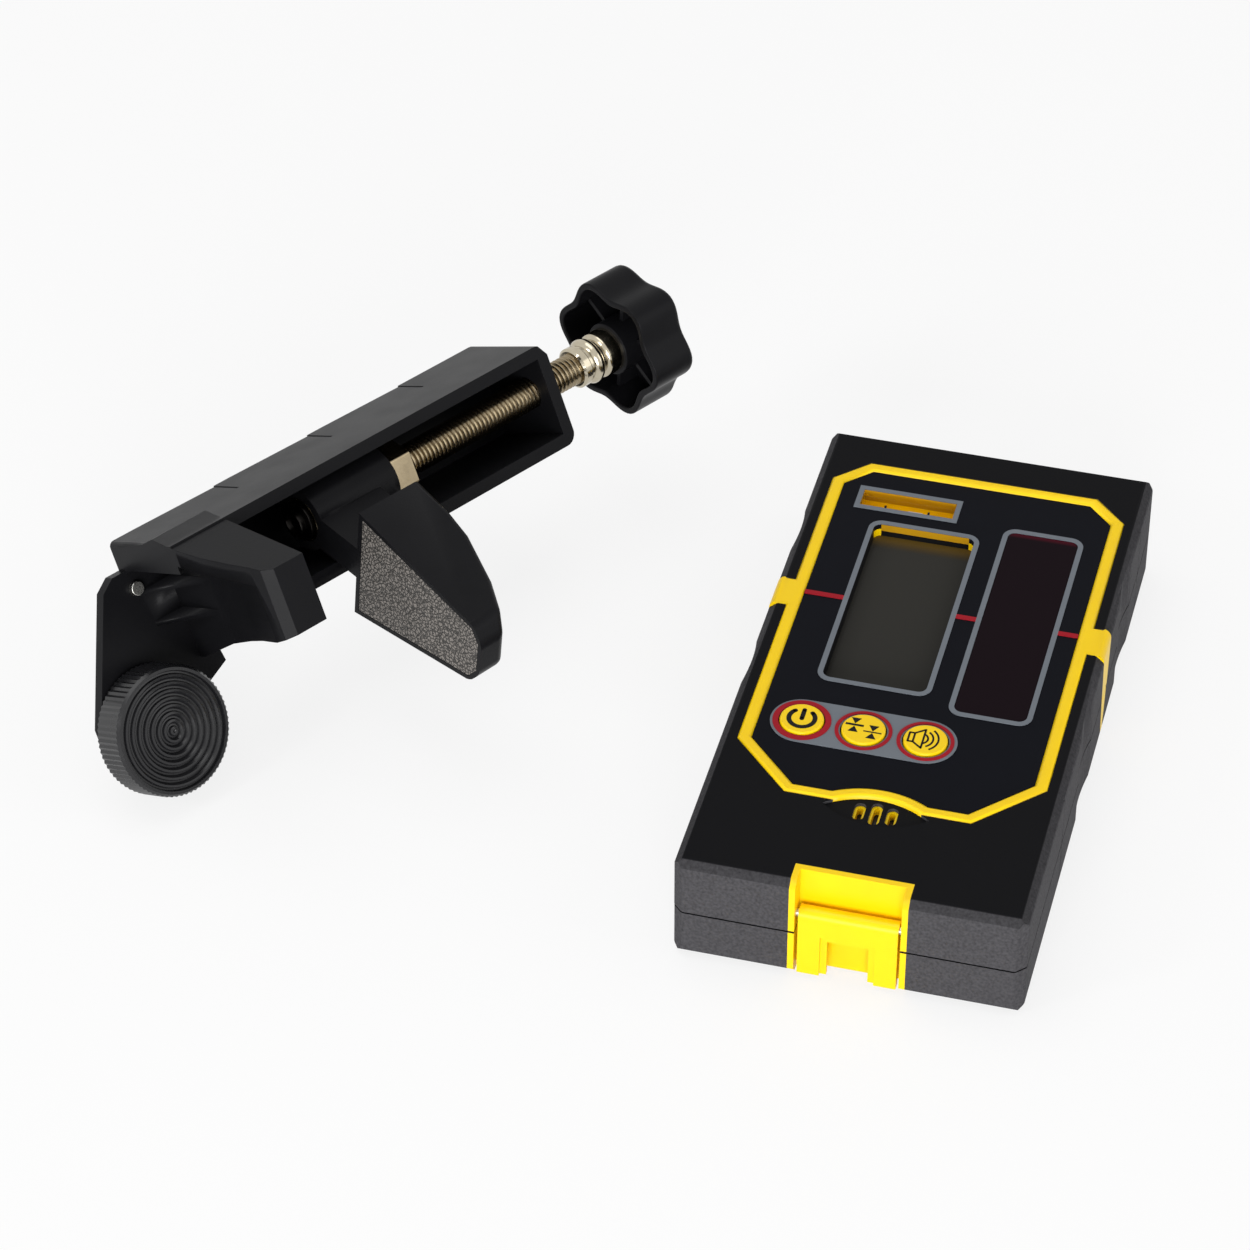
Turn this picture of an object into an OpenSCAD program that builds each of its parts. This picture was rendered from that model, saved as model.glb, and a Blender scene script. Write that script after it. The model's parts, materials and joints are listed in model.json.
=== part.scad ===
// Laser receiver for a survey rod, with its screw clamp standing beside it.
// The receiver lies on its back: the origin is the centre of the back face, X runs across the
// display, Y towards the end with the level vial and Z out of the display. Millimetres.

/* [Receiver housing] */
// Chamfer on the upright corners of the housing
corner_cut = 2.3; // [1.5:0.1:3]
// Chamfer round the top and bottom edges of the housing
edge_cut = 2; // [0.8:0.1:2.4]
// Height of the seam between the front and rear halves
seam_z = 13.3; // [11:0.1:15]
// Thickness of the soft black cover
cover_t = 1.6; // [1.4:0.1:2]
// Wall of the hard yellow shells
shell_t = 2; // [1.6:0.1:2.4]
// Depth of the thumb scallops in the two grip sides
scallop_d = 0.8; // [0.4:0.1:1]

/* [Bezel and panel] */
// Distance from the bezel to the side of the housing
bezel_side_gap = 4.14; // [3.6:0.02:6]
// Distance from the bezel to the vial end of the housing
bezel_top_gap = 11.45; // [9:0.05:16]
// Distance from the bezel to the latch end of the housing
bezel_end_gap = 28.75; // [26:0.05:32]
// Width of the yellow bezel band
bezel_band = 3.07; // [2.4:0.01:3.6]
// Height of the bezel above the black cover
bezel_rise = 0.3; // [0.2:0.1:0.6]

/* [Windows] */
// Width of the display window between its printed borders
lcd_w = 24.5; // [20:0.5:30]
// Length of the display window between its printed borders
lcd_l = 57.9; // [50:0.1:70]
// Width of the laser sensor window
sensor_w = 17; // [13:0.5:20]
// Distance that the sensor window runs past the display at each end
sensor_over = 4.6; // [2:0.1:5]
// Length of the level vial window
vial_w = 22.8; // [20:0.1:26]
// Height of the level vial window
vial_h = 6; // [5:0.1:7]
// Width of the printed border round a window
border_w = 1.25; // [0.8:0.05:1.5]

/* [Buttons] */
// Radius of a button cap
button_r = 5.1; // [4.4:0.1:6]
// Gap between the hidden flanges of neighbouring buttons
button_gap = 1.8; // [1:0.1:3]
// Travel of a button when it is pressed
button_travel = 0.6; // [0.4:0.1:0.8]
// Height of a resting button above its ring
button_rise = 0.5; // [0.2:0.1:0.9]

/* [Battery bay and latch] */
// Length of the battery case without its snap studs
cell_l = 46.5; // [42:0.5:50]
// Width of the battery case
cell_w = 26.5; // [24:0.5:28]
// Thickness of the battery case
cell_h = 17.5; // [15:0.5:20]
// Room between the battery and the deck above it
bay_head = 3.2; // [2.4:0.1:6]
// Width of the latch
latch_w = 22.6; // [19:0.2:26]
// Height of the latch plate
latch_h = 18.4; // [17:0.1:20]
// Thickness of the latch plate
latch_t = 2; // [1.6:0.1:2.2]

/* [Mounting in the back] */
// Radius of the threaded hole in the back
thread_r = 3.175; // [2.5:0.025:3.8]
// Distance from the threaded hole to the locating hole
locate_pitch = 33; // [28:0.5:38]
// Radius of the locating pin on the clamp
locate_r = 1.5; // [1.2:0.1:1.8]

/* [Rod clamp] */
// Length of the clamp's channel
channel_l = 116; // [100:1:140]
// Depth of the channel from its back to its open side
channel_d = 26.5; // [24:0.5:32]
// Wall of the channel
channel_t = 3.2; // [2.6:0.1:3.8]
// Outer radius of the lead screw
screw_r = 4; // [3:0.25:5]
// Thread pitch of the lead screw
screw_pitch = 1.25; // [1:0.25:2]
// Reach of the moving jaw from the screw's axis to its tip
jaw_reach = 62; // [54:1:70]
// Length of the moving jaw's carrier on the screw
jaw_t = 24; // [21:0.5:27]
// Distance from the channel's closed end to the moving jaw's grip face at rest
jaw_at = 40; // [36:1:46]
// Radius of the star knob over its lobes
knob_r = 17.5; // [15:0.5:21]
// Depth of the star knob
knob_h = 13; // [11:0.5:16]
// Radius of the thumbwheel
wheel_r = 15.5; // [13:0.5:17]
// Thickness of the thumbwheel
wheel_t = 9.5; // [8:0.5:11]

/* [Hidden] */
$fn = 64;
// One overrun that carries every cut past the face it opens
over = 1;
// Clearance of pieces that move past each other, of fixed inlays and of a shaft in its hole
run_gap = 0.3;
inlay_gap = 0.1;
shaft_gap = 0.05;
// Thickness of printed film on the panel
film_t = 0.2;

// Buttons, their rings and the strip round them
button_hole_r = button_r + run_gap;
ring_w = 1.4;
strip_rim = 0.5;
strip_h = 2 * (button_hole_r + ring_w + strip_rim);
flange_over = 0.9;
flange_r = button_hole_r + flange_over;
flange_t = 1.2;
button_pitch = 2 * flange_r + button_gap;
stem_r = 2;
dome_r = 4;
dome_t = 0.8;
dome_gap = 0.1;

// Panel: what stands beside each other and above each other on it, with the gaps between
panel_left = 9.44;
panel_mid = 4.8;
panel_right = 4.84;
panel_w = panel_left + lcd_w + panel_mid + sensor_w + panel_right + 4 * border_w;
vial_left = 4.24;
strip_left = 2.59;
vial_top_gap = 6.08;
vial_lcd_gap = 3.55;
lcd_key_gap = 7.85;
key_end_gap = 13.98;
panel_l = vial_top_gap + vial_h + vial_lcd_gap + lcd_l + lcd_key_gap + strip_h + key_end_gap + 4 * border_w;

// Outer sizes of the housing, round the panel and the battery
body_w = panel_w + 2 * (bezel_band + bezel_side_gap);
body_l = panel_l + 2 * bezel_band + bezel_top_gap + bezel_end_gap;
body_h = 2 * (cover_t + shell_t) + run_gap + cell_h + bay_head + bezel_rise;

// Heights of the layers, from the back up
half_w = body_w / 2;
half_l = body_l / 2;
cover_top = body_h - bezel_rise;
deck_top = cover_top - cover_t;
deck_bot = deck_top - shell_t;
panel_drop = 0.5;
panel_top = body_h - panel_drop;
floor_top = cover_t + shell_t;
seal_t = 0.6;
seal_low = seam_z - seal_t / 2;
seal_high = seam_z + seal_t / 2;
seam_groove = 0.4;
shell_x = half_w - cover_t;
shell_y = half_l - cover_t;
split_w = 0.5;
split_d = 0.4;

// Bezel outline, as corners of an octagon round the panel
bezel_x = half_w - bezel_side_gap;
bezel_top_y = half_l - bezel_top_gap;
bezel_end_y = -half_l + bezel_end_gap;
bezel_top_cut = 7.85;
bezel_end_cut_x = 14.46;
bezel_end_cut_y = 14.9;
octagon = [
  [bezel_x - bezel_top_cut, bezel_top_y], [-bezel_x + bezel_top_cut, bezel_top_y],
  [-bezel_x, bezel_top_y - bezel_top_cut], [-bezel_x, bezel_end_y + bezel_end_cut_y],
  [-bezel_x + bezel_end_cut_x, bezel_end_y], [bezel_x - bezel_end_cut_x, bezel_end_y],
  [bezel_x, bezel_end_y + bezel_end_cut_y], [bezel_x, bezel_top_y - bezel_top_cut]];

// Places of the windows and buttons
vial_x = -panel_w / 2 + vial_left + border_w + vial_w / 2;
vial_y = bezel_top_y - bezel_band - vial_top_gap - border_w - vial_h / 2;
lcd_x = -panel_w / 2 + panel_left + border_w + lcd_w / 2;
lcd_y = vial_y - vial_h / 2 - vial_lcd_gap - 2 * border_w - lcd_l / 2;
sensor_x = panel_w / 2 - panel_right - border_w - sensor_w / 2;
sensor_up = 0.2;
sensor_y = lcd_y + sensor_up;
sensor_l = lcd_l + 2 * sensor_over;
button_x = -panel_w / 2 + strip_left + strip_h / 2 + button_pitch;
button_y = lcd_y - lcd_l / 2 - border_w - lcd_key_gap - strip_h / 2;
window_r = 2;
sensor_ledge = 2;
lcd_glass_t = 2;
lcd_over = 1;

// Index tabs on the two sides, at the height of the laser line
tab_drop = 1.3;
tab_y = lcd_y - tab_drop;
tab_w = 9.8;
tab_seam_w = 6.2;
tab_end_w = 2.6;
mark_up = 1.1;
mark_y = tab_y + mark_up;
mark_w = 1.4;
scallop_r = 40;
scallop_pitch = 25;

// Speaker recess and its slots
speaker_r = 18.5;
speaker_rise = 3;
speaker_h = 9.1;
speaker_d = 0.7;
speaker_y = bezel_end_y + speaker_rise - speaker_r;
slot_w = 2.6;
slot_lip = 0.6;
slot_pitch = 3.7;
slot_l = 7.2;
slot_side_l = 5.6;
slot_y = speaker_y + speaker_r - speaker_h / 2;

// Level vial
vial_side = 0.5;
vial_r = vial_h / 2 - vial_side;
vial_wall = 1.5;
vial_floor = panel_top - 2 * vial_r;
vial_ring_w = 0.6;
vial_ring_t = 0.15;
vial_ring_gap = 10.6;
vial_end_gap = 0.4;

// Latch recess in the end, latch and its pin
recess_gap = 0.7;
recess_w = latch_w + 2 * recess_gap;
recess_d = 5.05;
liner_t = 1.4;
latch_z = 1;
latch_top = latch_z + latch_h;
latch_in = 0.45;
latch_y = -half_l + latch_in;
pin_r = 1;
barrel_r = 2.1;
pin_y = latch_y + barrel_r;
pin_z = latch_top - barrel_r;
pin_grip = 1.2;
notch_w = 12.4;
notch_top = 12.6;
notch_in_w = 9.4;
notch_in_top = 11;
notch_step = 0.8;

// Battery bay behind the door
bay_gap = 0.6;
cell_y = -half_l + recess_d + shell_t + bay_gap + cell_w / 2;
bay_side = 5;
bay_w = cell_l + 2 * bay_side;
bay_l = cell_w + 2 * bay_gap;
bay_rib = 1.6;
bay_end_y = cell_y + bay_l / 2 + bay_rib;
cell_x = -2;
stud_h = 2;
stud_r = 3;
stud_pitch = 12.7;
contact_t = 1.4;
contact_h = 14;
door_gap = 0.35;
door_lip = 1.5;
door_w = bay_w + 2 * door_lip;
door_in = 0.3;
door_rib_w = 1.2;
door_rib_h = 0.5;
door_rib_count = 5;
cell_z = floor_top + run_gap;
buzzer_r = 9;
buzzer_t = 1.6;

// Housing screws: two at the vial end and two beside the battery bay's inner wall
boss_in_x = 5.8;
boss_in_y = 9.5;
boss_r = 3.4;
screw_x = half_w - boss_in_x;
screw_top_y = half_l - boss_in_y;
screw_end_y = bay_end_y + boss_r;
house_screw_r = 1.3;
house_hole_r = 1.5;
house_head_r = 2.5;
house_head_t = 2;
house_head_z = 2.2;
house_tip_gap = 2.4;
house_screw_l = deck_bot - house_tip_gap - house_head_z - house_head_t;

// Circuit boards
board_t = 1.6;
board_drop = 9.4;
board_z = deck_bot - board_drop;
board_top = board_z + board_t;
board_clear = 0.8;
board_w = 2 * (screw_x - boss_r - board_clear);
board_top_gap = 30.65;
board_end_gap = 5.3;
board_top_y = half_l - board_top_gap;
board_end_y = bay_end_y + board_end_gap;
post_r = 2.6;
post_in = 6;
post_in_x = 3.4;
post_x = board_w / 2 - post_in_x;
post_top_y = board_top_y - post_in;
post_end_y = board_end_y + post_in;
small_screw_r = 1;
small_head_r = 1.9;
small_head_t = 1.2;
strip_narrow = 5;
strip_short = 7.1;
strip_board_w = sensor_w - strip_narrow;
strip_board_l = sensor_l - strip_short;
diode_w = 6;
diode_l = 3.4;
diode_h = 1.6;
diode_gap = 1.6;
diode_count = 12;
strip_leg_w = 4;
strip_leg_h = deck_bot - diode_gap - diode_h - board_t - board_top;

// Threaded insert and locating hole in the back
insert_wall = 1.825;
insert_r = thread_r + insert_wall;
insert_l = 9;
insert_y = 20;
insert_boss_wall = 2.5;
insert_boss_r = insert_r + insert_boss_wall;
insert_boss_l = 10.5;
locate_boss_wall = 3;
locate_boss_r = locate_r + locate_boss_wall;
locate_depth = 6;
locate_gap = 0.15;

// Clamp placement: local X runs along the channel to the knob, Y out of the open side and Z down
clamp_x = -167;
clamp_y = -44.1;
clamp_turn = [151.9, 1.2, 58.7];

// Lead screw, the swivel bush on its journal and what turns round them
thread_depth = 0.55;
thread_flat_share = 0.12;
core_r = screw_r - thread_depth;
bush_wall = 2.15;
shank_r = core_r + bush_wall;
collar_step = 1.8;
collar_flat = 2 * shank_r + collar_step;
collar_t = 6.5;
clip_w = 1.55;
clip_r = core_r + clip_w;
clip_t = 1;
clip_gap = 0.2;
tip_out = 1.6;
shoulder_gap = 0.3;
wall_nut_wall = 2.2;
wall_nut_r = screw_r + wall_nut_wall;
carrier_wall = 2.4;
carrier_r = shank_r + carrier_wall;

// Clamp channel, wide enough for the jaw's carrier, with steps in its back for the fingers
carrier_gap = 0.8;
carrier_room = 2.8;
axis_y = -8;
axis_z = channel_t + carrier_gap + carrier_r;
channel_w = axis_z + carrier_r + carrier_room + channel_t;
step_shares = [0.27, 0.52, 0.77];
step_d = 1;
step_l = 24;
score_w = 0.7;
score_d = 0.4;
score_l = 11;

// Plate that carries the receiver
wheel_x = -8.5;
wheel_z = 43.5;
locate_in_x = 9.2;
locate_x = wheel_x + locate_in_x;
locate_z = wheel_z - sqrt(pow(locate_pitch, 2) - pow(locate_in_x, 2));
locate_out = 1.4;
locate_in = 4.5;
locate_step = 0.2;
plate_t = 3;
plate_rim = 4.8;
plate_top = locate_z - plate_rim;
plate_top_x0 = -6.5;
plate_corner = 2.5;
plate_x1 = 12;
plate_low_x0 = -21;
plate_low_x1 = 16.5;
plate_low_z = 38;
plate_in = 3;
plate_end_r = wheel_r - plate_in;
plate_lean = (plate_top_x0 - plate_low_x0) / (plate_low_z - plate_top);
gusset_t = 1.2;
gusset_z = 13;
gusset_pitch = 8.2;
gusset_out = 18;
gusset_l = 8;

// Fixed jaw, as a plan seen along Z and a side seen along X: a blade with a scooped back under a wider top
fixed_face_x = 16;
fixed_root_x = 10.5;
fixed_tip_x = 4.6;
fixed_top_x = 0;
fixed_top_t = 4.5;
fixed_shoulder_y = -7;
fixed_tip_y = 27;
fixed_top_z = -1.5;
fixed_low_z = 30;
fixed_tip_top_z = 8;
fixed_tip_low_z = 24.5;
blade_shares = [[0, 0.03], [0.12, 0.27], [0.39, 0.5], [0.76, 0.71]];
top_shares = [[0, 0.24], [0.22, 0.47], [0.61, 0.68]];
tip_shares = [[1, 0.85], [0.9, 0.94], [0.5, 1]];
pad_t = 0.8;
pad_inset = 1.4;
pad_share = -fixed_shoulder_y / (fixed_tip_y - fixed_shoulder_y);

// Moving jaw, measured from the screw's axis: at rest its neck hangs against the channel's lip
neck_t = 8.8;
lip_y = -axis_y;
lip_z = channel_w - channel_t - axis_z;
jaw_hang = atan2(lip_z, lip_y) - asin((neck_t / 2 + run_gap) / norm([lip_y, lip_z]));
blade_in = 5.5;
blade_t = jaw_t - blade_in;
jaw_root = 19.5;
jaw_root_half = 15.5;
jaw_tip_half = 7.5;
jaw_tip_t = 7;
jaw_back_shares = [[0, 1], [0.25, 1], [0.435, 0.91], [0.74, 0.52], [0.918, 0.17], [1, 0]];
jaw_corner = 3;
pad_rim = 1.2;

// Ferrule and knob
ferrule_gap = 11;
ferrule_wall = 1.75;
ferrule_r = core_r + ferrule_wall;
ferrule_rise = 0.6;
ferrule_ring_r = ferrule_r + ferrule_rise;
ferrule_ring_l = 2.6;
ferrule_groove_d = 0.5;
ferrule_groove_r = ferrule_r - ferrule_groove_d;
ferrule_groove_l = 1.1;
ferrule_l = 12;
hub_wall = 1;
hub_r = ferrule_ring_r + hub_wall;
hub_bore_l = 3;
knob_wall = 1.7;
knob_face_t = 2.4;
lobe_count = 6;
lobe_steps = 16;
valley_d = 2.6;
valley_r = knob_r - valley_d;
rib_t = 1.1;

// Thumbwheel and its stud
knurl_count = 72;
knurl_d = 0.5;
ring_groove_count = 7;
ring_groove_w = 0.8;
ring_groove_d = 0.6;
wheel_gap = 0.4;
stud_out = 7;
thread_flank = 0.1;
thumb_r = thread_r - thread_flank;
shoulder_step = 0.35;
shoulder_r = thumb_r + shoulder_step;

// Places along the screw's axis that follow from the sizes above
collar_x = jaw_at + jaw_t;
ferrule_x = channel_l + ferrule_gap;
knob_x = ferrule_x + ferrule_l;
thread_x = collar_x + collar_t + shoulder_gap;
tip_x = jaw_at - clip_gap - clip_t - tip_out;

// Outline of the star knob: a wave with one crest to each lobe
function star(r) = [for (i = [0 : lobe_count * lobe_steps - 1]) let (t = i * 360 / (lobe_count * lobe_steps))
  (r - valley_d / 2 * (1 - cos(lobe_count * t))) * [cos(t), sin(t)]];

// The clamp stands on the rim of its thumbwheel: its upright axis in its own X, Y and Z gives the height
clamp_up = [-sin(clamp_turn[1]), cos(clamp_turn[1]) * sin(clamp_turn[0]),
            cos(clamp_turn[1]) * cos(clamp_turn[0])];
wheel_y = -channel_d + plate_t + wheel_gap;
clamp_pos = [clamp_x, clamp_y,
             wheel_r * norm([clamp_up[0], clamp_up[2]]) - clamp_up * [wheel_x, wheel_y, wheel_z]];

// Moves every edge of a convex outline that runs anticlockwise inwards by d
function edge_line(a, b, d) =
  let (t = (b - a) / norm(b - a), n = [-t[1], t[0]]) [n[0], n[1], n * a + d];
function meet(p, q) =
  let (k = p[0] * q[1] - p[1] * q[0]) [(p[2] * q[1] - p[1] * q[2]) / k, (p[0] * q[2] - p[2] * q[0]) / k];
function inset(pts, d) =
  let (n = len(pts)) [for (i = [0 : n - 1])
    meet(edge_line(pts[(i + n - 1) % n], pts[i], d), edge_line(pts[i], pts[(i + 1) % n], d))];

module at_screws() for (i = [-1, 1], y = [screw_top_y, screw_end_y])
  translate([i * screw_x, y, 0]) children();

module at_posts() for (i = [-1, 1], y = [post_top_y, post_end_y]) translate([i * post_x, y, 0]) children();

module at_buttons() for (i = [-1, 0, 1]) translate([button_x + i * button_pitch, button_y, 0]) children();

// Block centred on X and Y with chamfered upright corners
module block(x, y, z0, z1, cut) {
  translate([0, 0, z0]) linear_extrude(z1 - z0) polygon([
    [x, y - cut], [x - cut, y], [-x + cut, y], [-x, y - cut],
    [-x, -y + cut], [-x + cut, -y], [x - cut, -y], [x, -y + cut]]);
}

// Box between two corners
module box(low, high) translate(low) cube(high - low);

// Housing block with every upright corner and one rim of edges chamfered
module housing(z0, z1, top) {
  edge_z = top ? z1 : z0;
  rim = edge_cut * sqrt(2);
  difference() {
    block(half_w, half_l, z0, z1, corner_cut);
    for (i = [-1, 1]) {
      translate([i * half_w, 0, edge_z]) rotate([0, 45, 0])
        cube([rim, body_l + over, rim], center = true);
      translate([0, i * half_l, edge_z]) rotate([45, 0, 0])
        cube([body_w + over, rim, rim], center = true);
    }
  }
}

// Upright plate with rounded corners round a window
module window(x, y, w, l, r, z0, z1) {
  translate([x, y, z0]) linear_extrude(z1 - z0) union() {
    square([w - 2 * r, l], center = true);
    square([w, l - 2 * r], center = true);
    for (i = [-1, 1], j = [-1, 1]) translate([i * (w / 2 - r), j * (l / 2 - r)]) circle(r);
  }
}

module prism(pts, z0, z1) translate([0, 0, z0]) linear_extrude(z1 - z0) polygon(pts);

module capsule_slot(x, y, w, l, z0, z1) {
  translate([x, y, z0]) linear_extrude(z1 - z0) union() {
    square([w, l - w], center = true);
    for (j = [-1, 1]) translate([0, j * (l - w) / 2]) circle(w / 2);
  }
}

module speaker_disc(r, z0, z1) translate([0, speaker_y, z0]) cylinder(r = r, h = z1 - z0);

module speaker_slots(grow, z0, z1) {
  for (i = [-1, 0, 1])
    capsule_slot(i * slot_pitch, slot_y, slot_w + grow, (i == 0 ? slot_l : slot_side_l) + grow, z0, z1);
}

// Index tabs on the two sides, between two heights and out to grow past the side
module tab_strip(z0, z1, grow) {
  for (i = [-1, 1]) mirror([i > 0 ? 0 : 1, 0, 0]) intersection() {
    translate([bezel_x - bezel_band / 2, tab_y, 0]) rotate([90, 0, 90])
      linear_extrude(half_w - bezel_x + bezel_band / 2 + grow) polygon([
        [-tab_end_w / 2, cover_t], [tab_end_w / 2, cover_t], [tab_seam_w / 2, seam_z], [tab_w / 2, body_h],
        [-tab_w / 2, body_h], [-tab_seam_w / 2, seam_z]]);
    box([0, tab_y - tab_w, z0], [body_w, tab_y + tab_w, z1]);
  }
}

module scallops(z0, z1) {
  for (i = [-1, 1], j = [-1, 1])
    translate([i * (half_w + scallop_r - scallop_d), tab_y + j * scallop_pitch, z0])
      cylinder(r = scallop_r, h = z1 - z0, $fn = 180);
}

// Fine lines where the grip section of the cover meets the end sections
module split_lines(z0, z1) {
  for (y = [bezel_top_y - bezel_top_cut, bezel_end_y + bezel_end_cut_y])
    for (i = [-1, 1]) translate([i * (half_w + split_w), y, z0])
      translate([-split_w - split_d, -split_w / 2, 0]) cube([2 * (split_w + split_d), split_w, z1 - z0]);
}

module latch_recess(grow, z0, z1) {
  box([-recess_w / 2 - grow, -half_l - over, z0], [recess_w / 2 + grow, -half_l + recess_d + grow, z1]);
}

module rear_cover() color("#262527") difference() {
  housing(0, seam_z - seam_groove / 2, false);
  block(shell_x, shell_y, cover_t, seam_z, corner_cut);
  tab_strip(0, body_h, over);
  scallops(-over, seam_z);
  split_lines(edge_cut, seam_z);
  latch_recess(liner_t, -over, seam_z + over);
  at_screws() translate([0, 0, -over])
    cylinder(r = house_head_r + run_gap, h = cover_t + 2 * over);
  door_opening(0);
  translate([0, insert_y, -over]) cylinder(r = insert_r, h = cover_t + 2 * over);
  translate([0, insert_y - locate_pitch, -over]) cylinder(r = locate_r + locate_gap, h = cover_t + 2 * over);
}

// Opening for the battery door through the cover and the floor of the rear shell
module door_opening(shrink) {
  box([-door_w / 2 + shrink, cell_y - bay_l / 2 + shrink, -over],
      [door_w / 2 - shrink, cell_y + bay_l / 2 - shrink, cover_t]);
  box([-bay_w / 2 + shrink, cell_y - bay_l / 2 + shrink, -over],
      [bay_w / 2 - shrink, cell_y + bay_l / 2 - shrink, floor_top + over]);
}

module rear_shell() color("#f2c400") difference() {
  union() {
    difference() {
      block(shell_x, shell_y, cover_t, seal_low, corner_cut);
      block(shell_x - shell_t, shell_y - shell_t, floor_top, seal_low + over, corner_cut);
    }
    tab_strip(0, seal_low, 0);
    intersection() {
      housing(0, seam_z, false);
      latch_recess(liner_t, 0, seal_low);
    }
    at_screws() translate([0, 0, cover_t]) cylinder(r = boss_r, h = seal_low - cover_t);
    at_posts() translate([0, 0, cover_t]) cylinder(r = post_r, h = board_z - cover_t);
    translate([0, insert_y, cover_t]) cylinder(r = insert_boss_r, h = insert_boss_l - cover_t);
    translate([0, insert_y - locate_pitch, cover_t]) cylinder(r = locate_boss_r, h = locate_depth);
    box([-bay_w / 2, bay_end_y - bay_rib, cover_t], [bay_w / 2, bay_end_y, seal_low]);
    for (i = [-1, 1]) translate([i * (bay_w + bay_rib) / 2, 0, 0])
      box([-bay_rib / 2, cell_y - bay_l / 2, cover_t], [bay_rib / 2, bay_end_y, seal_low]);
  }
  latch_recess(0, -over, seam_z + over);
  door_opening(0);
  at_screws() {
    translate([0, 0, -over]) cylinder(r = house_hole_r, h = seam_z + 2 * over);
    translate([0, 0, -over]) cylinder(r = house_head_r + run_gap, h = house_head_z + house_head_t + over);
  }
  at_posts() translate([0, 0, floor_top]) cylinder(r = small_screw_r, h = board_z);
  translate([0, insert_y, -over]) cylinder(r = insert_r, h = insert_l + over);
  translate([0, insert_y - locate_pitch, -over]) cylinder(r = locate_r + locate_gap, h = locate_depth + over);
}

// Gasket between the two shells, following the latch recess round
module seam_seal() color("#1b1b1d") difference() {
  union() {
    difference() {
      block(shell_x, shell_y, seal_low, seal_high, corner_cut);
      block(shell_x - shell_t, shell_y - shell_t, seal_low - over, seal_high + over, corner_cut);
    }
    intersection() {
      housing(0, body_h, true);
      latch_recess(liner_t, seal_low, seal_high);
    }
  }
  latch_recess(0, seal_low - over, seal_high + over);
}

module front_shell() color("#ffd200") difference() {
  union() {
    difference() {
      block(shell_x, shell_y, seal_high, deck_top, corner_cut);
      block(shell_x - shell_t, shell_y - shell_t, seal_high - over, deck_bot, corner_cut);
    }
    difference() {
      prism(octagon, deck_top, body_h);
      speaker_disc(speaker_r, deck_top - over, body_h + over);
      difference() {
        prism(inset(octagon, bezel_band), deck_top - over, body_h + over);
        speaker_disc(speaker_r + bezel_band, deck_top - over, body_h + over);
      }
    }
    tab_strip(seal_high, body_h, 0);
    intersection() {
      housing(seam_z, cover_top, true);
      latch_recess(liner_t, seal_high, cover_top);
    }
    at_screws() translate([0, 0, seal_high]) cylinder(r = boss_r, h = deck_top - seal_high);
    box([vial_x - vial_w / 2 - vial_wall, vial_y - vial_h / 2 - vial_wall, vial_floor - vial_wall],
        [vial_x + vial_w / 2 + vial_wall, vial_y + vial_h / 2 + vial_wall, deck_top]);
  }
  latch_recess(0, -over, body_h + over);
  at_screws() translate([0, 0, house_head_z + house_head_t])
    cylinder(r = house_screw_r, h = house_screw_l);
  window(lcd_x, lcd_y, lcd_w, lcd_l, window_r, deck_bot - over, deck_top + over);
  window(sensor_x, sensor_y, sensor_w - 2 * sensor_ledge, sensor_l - 2 * sensor_ledge, window_r,
         deck_bot - over, deck_top + over);
  box([vial_x - vial_w / 2, vial_y - vial_h / 2, vial_floor],
      [vial_x + vial_w / 2, vial_y + vial_h / 2, body_h + over]);
  at_buttons() translate([0, 0, deck_bot - over]) cylinder(r = button_hole_r, h = shell_t + 2 * over);
  speaker_slots(-2 * slot_lip, deck_bot - over, deck_top + over);
  for (i = [-1, 1]) translate([i * recess_w / 2, pin_y, pin_z]) rotate([0, 90, 0])
    cylinder(r = pin_r, h = 2 * pin_grip, center = true);
}

module front_cover() color("#262527") difference() {
  housing(seam_z + seam_groove / 2, cover_top, true);
  block(shell_x, shell_y, seam_z - over, deck_top, corner_cut);
  difference() {
    prism(octagon, deck_top - over, body_h);
    speaker_disc(speaker_r, deck_top - 2 * over, body_h + over);
  }
  tab_strip(0, body_h, over);
  scallops(seam_z - over, body_h);
  split_lines(seam_z - over, body_h);
  latch_recess(liner_t, seam_z - over, body_h + over);
  intersection() {
    speaker_disc(speaker_r, cover_top - speaker_d, body_h);
    translate([0, 2 * speaker_r - speaker_h, 0]) speaker_disc(speaker_r, cover_top - speaker_d, body_h);
  }
  speaker_slots(0, deck_top - over, body_h);
}

module housing_screws() color("#8d8f92") at_screws() translate([0, 0, house_head_z]) {
  difference() {
    cylinder(r = house_head_r, h = house_head_t);
    for (a = [0, 90]) rotate([0, 0, a])
      cube([house_head_r * 1.2, house_head_r / 3, house_head_t], center = true);
  }
  translate([0, 0, house_head_t]) cylinder(r = house_screw_r, h = house_screw_l);
}

module panel_outline(d, z0, z1) difference() {
  prism(inset(octagon, bezel_band + d), z0, z1);
  speaker_disc(speaker_r + bezel_band + d, z0 - over, z1 + over);
}

module face_panel() color("#1d1e24") difference() {
  panel_outline(inlay_gap, deck_top, panel_top);
  window(lcd_x, lcd_y, lcd_w, lcd_l, window_r, deck_top - over, panel_top + over);
  window(sensor_x, sensor_y, sensor_w, sensor_l, window_r, deck_top - over, panel_top + over);
  box([vial_x - vial_w / 2, vial_y - vial_h / 2, deck_top - over],
      [vial_x + vial_w / 2, vial_y + vial_h / 2, panel_top + over]);
  at_buttons() translate([0, 0, deck_top - over]) cylinder(r = button_hole_r, h = body_h);
}

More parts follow.
